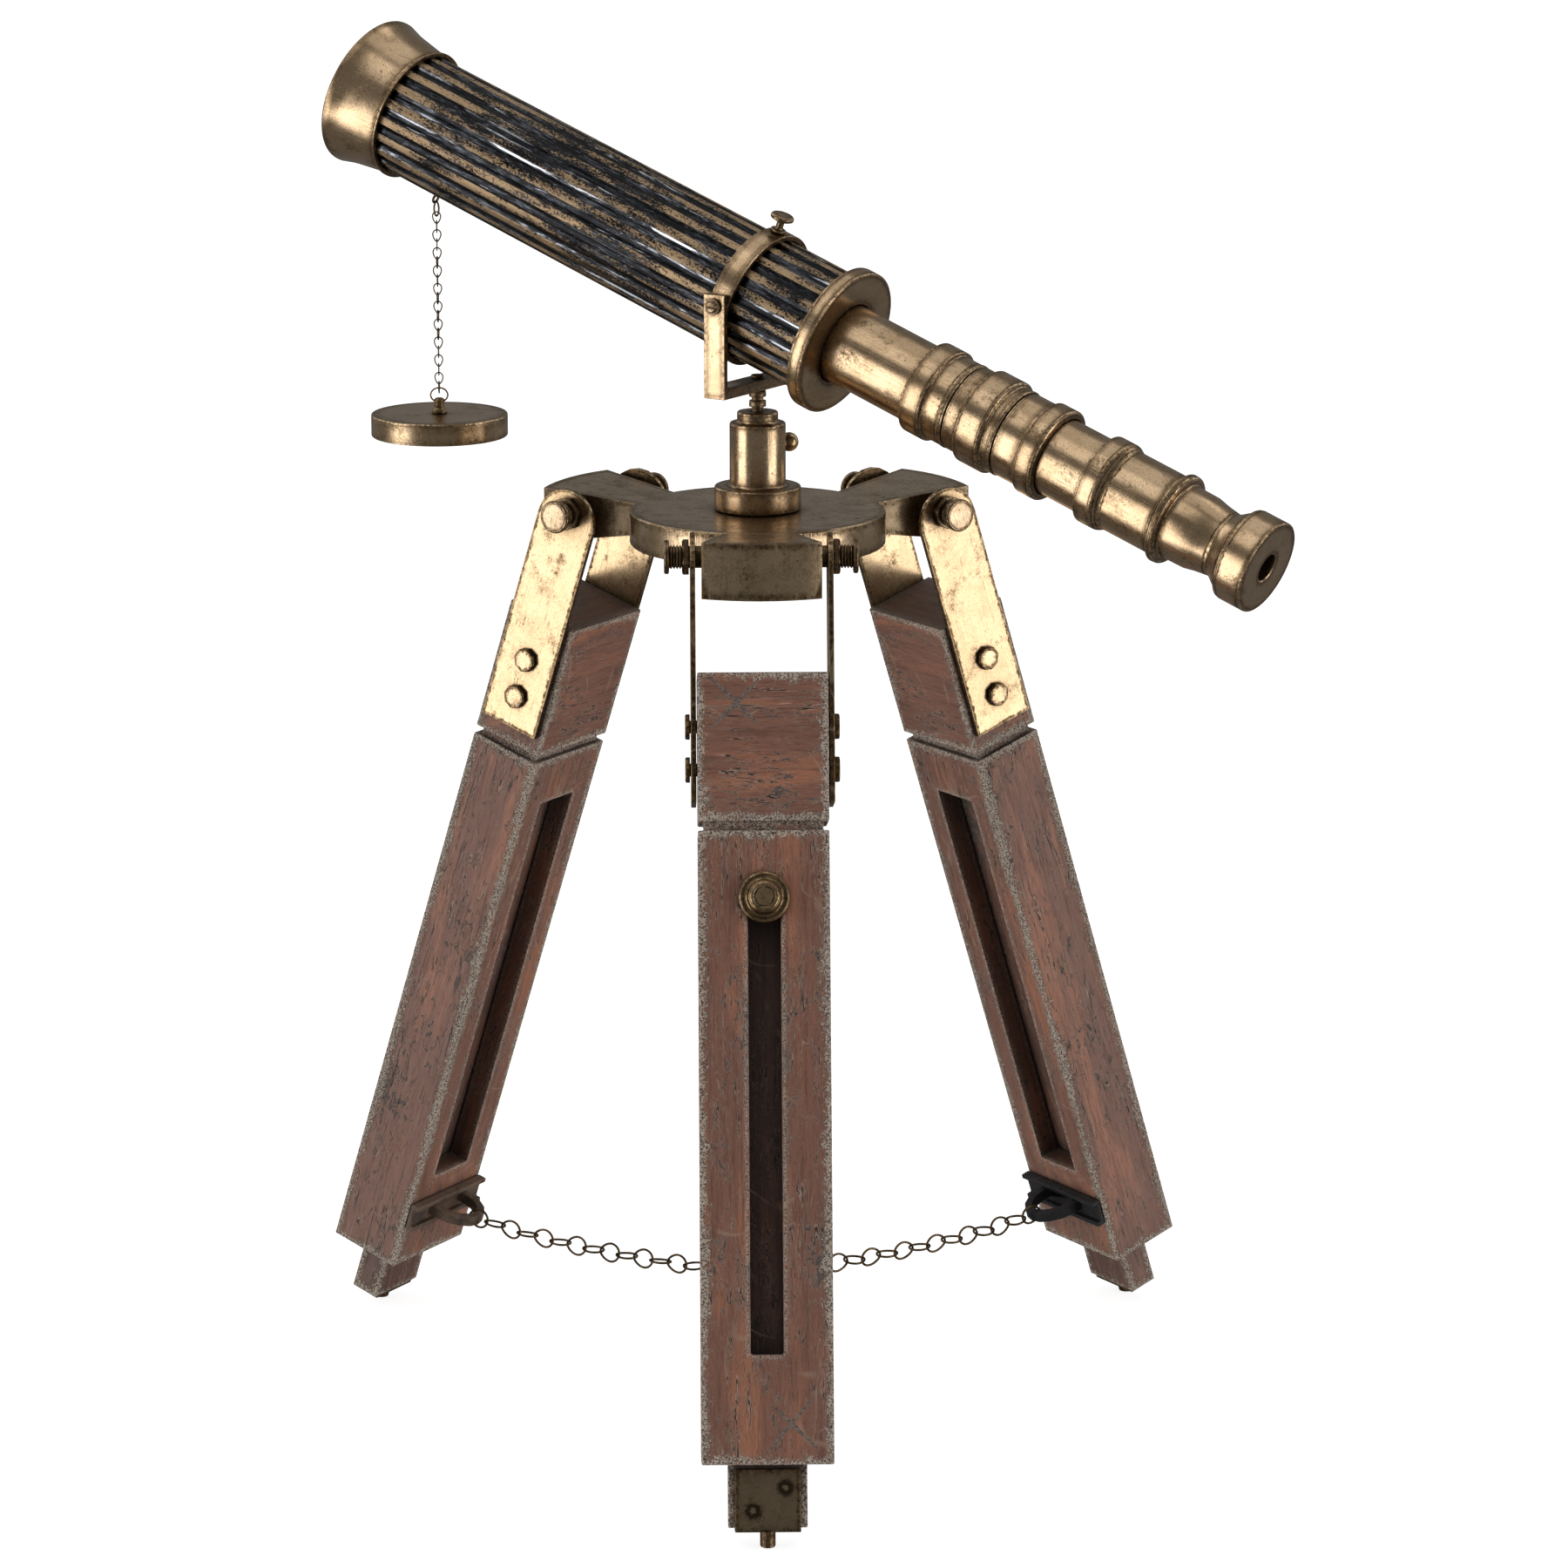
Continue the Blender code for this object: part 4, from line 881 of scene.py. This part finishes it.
# ---------------------------------------------------------------- telescope
def telescope():
    piece("fluted_tube", fluted_tube(), "paint", TUBE, "barrel", "main_tube", crease=40)
    bell = (
        (0.548, -3.511), (0.548, -3.533), (0.530, -3.545), (0.553, -3.69), (0.5755, -3.83), (0.588, -3.89),
        (0.604, -3.945), (0.617, -3.990), (0.617, -4.006), (0.600, -4.020), (0.576, -4.020), (0.568, -3.985),
        (0.490, -3.62), (0.425, -3.60), (0.425, -3.548), (0.5125, -3.548), (0.5125, -3.511),
    )
    piece("bell", ring(bell), "brass", TUBE, "barrel", "objective_bell")
    lens = (
        (0.001, -3.553), (0.12, -3.550), (0.25, -3.540), (0.36, -3.524), (0.445, -3.503), (0.445, -3.475),
        (0.36, -3.456), (0.25, -3.442), (0.12, -3.434), (0.001, -3.431),
    )
    piece("objective", turned(lens, 72), "glass", TUBE, "barrel", "objective_lens")
    band = ((0.5125, -0.09), (0.5565, -0.09), (0.5565, 0.086), (0.5125, 0.086))
    piece("band", ring(band, 96, 0.010), "brass", TUBE, "barrel", "clamp_band")
    thumb = (
        (0.030, 0.518), (0.030, 0.565), (0.062, 0.565), (0.062, 0.583), (0.030, 0.588), (0.030, 0.655),
        (0.070, 0.660), (0.094, 0.672), (0.094, 0.694), (0.082, 0.706), (0.060, 0.703), (0.030, 0.699),
        (0.001, 0.698),
    )
    piece("band_screw", sideways(turned(thumb, 48), "Y"), "brass", TUBE, "band_thumbscrew", "band_thumbscrew")
    flange = ((0.594, 0.745), (0.594, 0.875), (0.3265, 0.875), (0.3265, 0.790), (0.5125, 0.790), (0.5125, 0.745))
    piece("flange", ring(flange, 96, 0.020), "brass", TUBE, "barrel", "end_flange")
    draw = (
        (0.3187, 0.7822), (0.3187, 1.742), (0.275, 1.742), (0.275, 0.62), (0.30, 0.62), (0.30, 0.66), (0.422, 0.66),
        (0.422, 0.7822),
    )
    piece("draw_barrel", ring(draw, 80), "brass", TUBE, "draw", "draw_tube")
    socket = (
        (0.377, 1.670), (0.377, 1.855), (0.348, 1.858), (0.348, 2.012), (0.3525, 2.020), (0.3525, 2.034),
        (0.348, 2.040), (0.348, 2.055), (0.298, 2.055), (0.298, 1.750), (0.3265, 1.750), (0.3265, 1.670),
    )
    piece("ferrule_one", ring(socket, 80, 0.014), "brass", TUBE, "draw", "draw_socket")
    cell = (
        (0.347, 2.0628), (0.347, 2.180), (0.372, 2.186), (0.385, 2.200), (0.385, 2.412), (0.374, 2.425),
        (0.352, 2.430), (0.352, 2.495), (0.3565, 2.502), (0.3565, 2.514), (0.352, 2.520), (0.352, 2.525),
        (0.3183, 2.525), (0.3183, 2.0628),
    )
    piece("ferrule_two", ring(cell, 80, 0.012), "brass", TUBE, "draw", "erector_cell")
    focus = (
        (0.3465, 2.5328), (0.3465, 2.752), (0.377, 2.757), (0.377, 2.910), (0.362, 2.922), (0.3183, 2.933),
        (0.3183, 2.5328),
    )
    piece("ferrule_three", ring(focus, 80, 0.012), "brass", TUBE, "draw", "focus_socket")
    eyepiece = ((0.3105, 2.55), (0.3105, 3.44), (0.275, 3.44), (0.275, 2.55))
    piece("eyepiece_barrel", ring(eyepiece, 80), "brass", TUBE, "eyepiece", "eyepiece_tube")
    grip = (
        (0.360, 3.315), (0.360, 3.470), (0.3265, 3.530), (0.3265, 3.980), (0.255, 3.980), (0.255, 3.448),
        (0.3183, 3.448), (0.3183, 3.315),
    )
    piece("eyepiece_grip", ring(grip, 80, 0.014), "brass", TUBE, "eyepiece", "grip_ring")
    cup = (
        (0.352, 3.9878), (0.366, 3.998), (0.362, 4.045), (0.335, 4.060), (0.300, 4.062), (0.296, 4.260),
        (0.277, 4.350), (0.260, 4.473), (0.268, 4.500), (0.345, 4.610), (0.366, 4.618), (0.366, 4.632),
        (0.371, 4.640), (0.371, 4.865), (0.108, 4.865), (0.108, 4.640), (0.210, 4.640), (0.210, 4.200),
        (0.250, 4.120), (0.250, 3.9878),
    )
    piece("eye_end", ring(cup, 80, 0.018), "brass", TUBE, "eyepiece", "eyecup")
    for node in ("erector_lens", "eye_lens"):
        paint_node(node, "glass")


# ---------------------------------------------------------------- cap, fork and column
EYELET_STATION = -3.126
PILLAR_KNOB_HEIGHT = HEAD_TOP + 0.505


def cap_and_fork():
    cap_at = local(CHAIN_SPOT + UP * CAP_TOP, ACROSS, -HEADING, UP)
    bail_at = local(CHAIN_SPOT + UP * BAIL_TOP, ACROSS, -HEADING, UP)
    cup = ((0.560, -0.181), (0.560, 0.0), (0.033, 0.0), (0.033, -0.035), (0.525, -0.035), (0.525, -0.181))
    piece("cap", ring(cup, 96, 0.014), "worn_brass", cap_at, "cap", "lens_cap")
    post = (
        (0.001, -0.060), (0.050, -0.060), (0.050, -0.0428), (0.0255, -0.0428), (0.0255, GAP), (0.066, GAP),
        (0.062, 0.030), (0.0425, 0.042), (0.0425, 0.115), (0.030, 0.127), (0.001, 0.130),
    )
    mesh = turned([(r, CAP_TOP - BAIL_TOP + z) for r, z in post], 40)
    front = Vector((ACROSS.x, -HEADING.x, 0.0))
    bail = [(front * 0.070 * cos(a) + UP * (-0.0625 + 0.0590 * sin(a))) * U for a in angles(36)]
    mesh = with_wire(mesh, bail, 0.0070 * U, UP.cross(front))
    piece("cap_post_bail", mesh, "dark_brass", bail_at, "cap", "cap_post")
    eye = bmesh.new()
    centre = Vector((0.0, -0.5655, EYELET_STATION))
    add_wire(eye, [centre + Vector((cos(a), sin(a), 0.0)) * 0.032 for a in angles(28)], 0.0112, UP)
    mesh = mesh_from(eye)
    stud = sideways(turned(((0.001, -0.548), (0.021, -0.545), (0.021, -0.46), (0.001, -0.455)), 24), "Y")
    stud.transform(Matrix.Translation((0, 0, EYELET_STATION * U)))
    both = bmesh.new()
    both.from_mesh(mesh)
    both.from_mesh(stud)
    both.to_mesh(mesh)
    both.free()
    piece("eyelet", mesh, "dark_brass", TUBE, "barrel", "chain_eyelet")

    piece("fork", refined("yoke", FORK, 0.010), "brass", FORK, "fork", "yoke")
    stem = (
        (0.001, 0.42), (0.0465, 0.42), (0.0465, 0.8255), (0.068, 0.8255), (0.068, 0.874), (0.0465, 0.876),
        (0.0465, 0.903), (0.068, 0.905), (0.068, 0.950), (0.052, 0.9602), (0.030, 0.9602), (0.030, 1.0618),
        (0.056, 1.0618), (0.050, 1.080), (0.001, 1.082),
    )
    stem = [(r, HEAD_TOP - PIVOT_TOP + z) for r, z in stem]
    piece("spindle", turned(stem, 48), "hardware", FORK, "fork", "pan_stem")
    for side in ("left", "right"):
        node = f"pivot_screw_{side}"
        piece(f"pivot_{side}", refined(node, FORK, 0.004, 2), "hardware", FORK, "fork", node)
    column = (
        (0.343, GAP), (0.343, 0.186), (0.335, 0.194), (0.2225, 0.197), (0.2225, 0.700), (0.163, 0.703),
        (0.163, 0.788), (0.0545, 0.788), (0.0545, 0.38), (0.035, 0.36), (0.035, GAP),
    )
    piece("pillar", ring(column, 96, 0.016), "brass", HEAD, "stand", "column")
    out = direction(38.0, 0.0)
    knob = [(0.001, 0.08), (0.030, 0.08), (0.030, 0.232), (0.045, 0.236), (0.045, 0.255)]
    ball = 0.077
    knob += [(ball * cos(radians(a)), 0.320 + ball * sin(radians(a))) for a in range(-50, 90, 10)]
    knob += [(0.001, 0.397)]
    knob_at = local((0.0, 0.0, PILLAR_KNOB_HEIGHT), UP.cross(out), UP, out)
    piece("pillar_knob", turned(knob, 40), "dark_brass", knob_at, "column_knob", "column_knob")
    piece("head_plate", refined("tripod_head", HEAD, 0.011), "head", HEAD, "stand", "tripod_head", crease=24)
    paint_node("centre_ring", "chain")


# ---------------------------------------------------------------- legs
def pivot_profile():
    half = [(0.001, 0.747), (0.118, 0.747), (0.131, 0.739), (0.131, 0.713), (0.120, 0.707), (0.080, 0.705)]
    for k in range(4):
        z = 0.700 - 0.0235 * k
        half += [(0.092, z - 0.006), (0.092, z - 0.011), (0.076, z - 0.0195)]
    half += [(0.080, 0.609), (0.120, 0.608), (0.137, 0.600), (0.137, 0.5553), (0.085, 0.5553)]
    return half


def legs():
    bolt = pivot_profile()
    profile = [(r, -z) for r, z in bolt] + [(0.085, -0.455), (0.085, 0.455)] + list(reversed(bolt))
    dial = (
        (0.060, 0.0), (0.195, 0.0), (0.195, 0.045), (0.180, 0.058), (0.150, 0.050), (0.135, 0.056), (0.132, 0.085),
        (0.122, 0.112), (0.104, 0.127), (0.090, 0.130), (0.082, 0.126), (0.001, 0.126),
    )
    for side, azimuth in LEGS.items():
        at = leg_frame(azimuth)
        body, board, knob_body = f"leg_{side}", f"board_{side}", f"clamp_knob_{side}"
        look = "wood_front" if side == "front" else "wood"
        piece(f"timber_{side}", refined(f"leg_{side}", at, 0.014), look, at, body, f"leg_{side}", crease=50)
        for half in "ab":
            node = f"strap_{side}_{half}"
            piece(f"cheek_{side}_{half}", refined(node, at, 0.006), "strap", at, body, node)
        mesh = sideways(turned(profile, 48, 0.004, ((-0.604, -0.55, 6), (0.55, 0.604, 6))))
        piece(f"hinge_rod_{side}", mesh, "hardware", at, "stand", f"pivot_bolt_{side}")
        for level in ("upper", "lower"):
            node = f"strap_bolt_{side}_{level}"
            piece(f"stud_{side}_{level}", refined(node, at, 0.003), "stud", at, body, node)
        plank = refined(f"extension_{side}", at, 0.012)
        piece(f"inner_board_{side}", plank, "board", at, board, f"extension_{side}", crease=50)
        piece(f"shoe_{side}", refined(f"foot_shoe_{side}", at, 0.007), "bronze", at, board, f"foot_shoe_{side}")
        knob = [(0.001, -0.05), (0.060, -0.05)] + [(r, LEG_HALVES[1] + GAP + z) for r, z in dial]
        knob_at = leg_frame(azimuth, KNOB_STATION)
        piece(f"knob_{side}", sideways(turned(knob, 64), "Y"), "dark_brass", knob_at, knob_body, f"clamp_knob_{side}")
        iron_look = "rusty" if side == "left" else "iron"
        piece(f"loop_plate_{side}", refined(f"bracket_{side}", at, 0.008), iron_look, at, body, f"bracket_{side}")


# ---------------------------------------------------------------- studio
# Each soft light: azimuth and elevation of its middle, half its width and height (degrees), and strength.
SOFTBOXES = (
    (-158.0, -9.0, 17.0, 28.0, 2.5),
    (-27.0, -6.0, 17.0, 28.0, 2.5),
    (60.0, 76.0, 30.0, 22.0, 0.5),
    (-150.0, 62.0, 20.0, 18.0, 0.9),
    (140.0, 30.0, 14.0, 34.0, 1.2),
    (32.0, 30.0, 12.0, 34.0, 1.0),
)


def studio():
    sky = bpy.data.worlds.new("studio")
    bpy.context.scene.world = sky
    sky.use_nodes = True
    tree = sky.node_tree
    background = tree.nodes["Background"]

    def node(kind, *inputs, **settings):
        made = tree.nodes.new(kind)
        for key, value in settings.items():
            setattr(made, key, value)
        for socket, value in zip(made.inputs, inputs):
            if isinstance(value, bpy.types.NodeSocket):
                tree.links.new(value, socket)
            else:
                socket.default_value = value
        return made

    def math(operation, *inputs):
        return node("ShaderNodeMath", *inputs, operation=operation).outputs[0]

    def ramp(value, low, high):
        made = node("ShaderNodeMapRange", value, interpolation_type="SMOOTHSTEP")
        made.inputs["From Min"].default_value, made.inputs["From Max"].default_value = low, high
        made.inputs["To Min"].default_value, made.inputs["To Max"].default_value = 1.0, 0.0
        return made.outputs[0]

    way = node("ShaderNodeTexCoord").outputs["Generated"]
    total = None
    for azimuth, elevation, wide, high, strength in SOFTBOXES:
        middle = direction(azimuth, elevation)
        side = UP.cross(middle).normalized()
        over = middle.cross(side)
        parts = []
        for axis in (middle, side, over):
            dot = node("ShaderNodeVectorMath", way, tuple(axis), operation="DOT_PRODUCT")
            parts.append(dot.outputs["Value"])
        depth = math("MAXIMUM", parts[0], 0.02)
        light = strength
        for part, half in ((parts[1], wide), (parts[2], high)):
            off = math("ABSOLUTE", math("DIVIDE", part, depth))
            edge = sin(radians(half)) / cos(radians(half))
            light = math("MULTIPLY", ramp(off, 0.70 * edge, 1.22 * edge), light)
        total = light if total is None else math("ADD", total, light)
    height = node("ShaderNodeSeparateXYZ", way).outputs[2]
    ambient = node("ShaderNodeMapRange", height)
    ambient.inputs["From Min"].default_value, ambient.inputs["From Max"].default_value = -0.2, 1.0
    ambient.inputs["To Min"].default_value, ambient.inputs["To Max"].default_value = 0.15, 0.20
    total = math("ADD", total, ambient.outputs[0])
    seen = node("ShaderNodeLightPath").outputs["Is Camera Ray"]
    mix = node("ShaderNodeMix", seen, data_type="FLOAT")
    tree.links.new(total, mix.inputs[2])
    mix.inputs[3].default_value = 1.0
    tree.links.new(mix.outputs[0], background.inputs["Strength"])
    background.inputs["Color"].default_value = (1.0, 1.0, 1.0, 1.0)
    sky.cycles.sampling_method = "MANUAL"
    sky.cycles.sample_map_resolution = 512

    bm = bmesh.new()
    bmesh.ops.create_grid(bm, x_segments=1, y_segments=1, size=6.0)
    mesh = mesh_from(bm, 1.0)
    floor = bpy.data.objects.new("floor", mesh)
    floor.location = (0.0, 0.0, -0.0002)
    s = Shader("floor_paper")
    s.finish(
        Base_Color=(0.60, 0.60, 0.60),
        Roughness=1.0,
        Specular_IOR_Level=0.0,
        Emission_Color=(1.0, 1.0, 1.0),
        Emission_Strength=0.86,
    )
    mesh.materials.append(s.material)
    floor.visible_glossy = floor.visible_shadow = floor.visible_diffuse = False
    bpy.context.scene.collection.objects.link(floor)
    bpy.context.scene.view_settings.view_transform = "Standard"


telescope()
cap_and_fork()
legs()
studio()
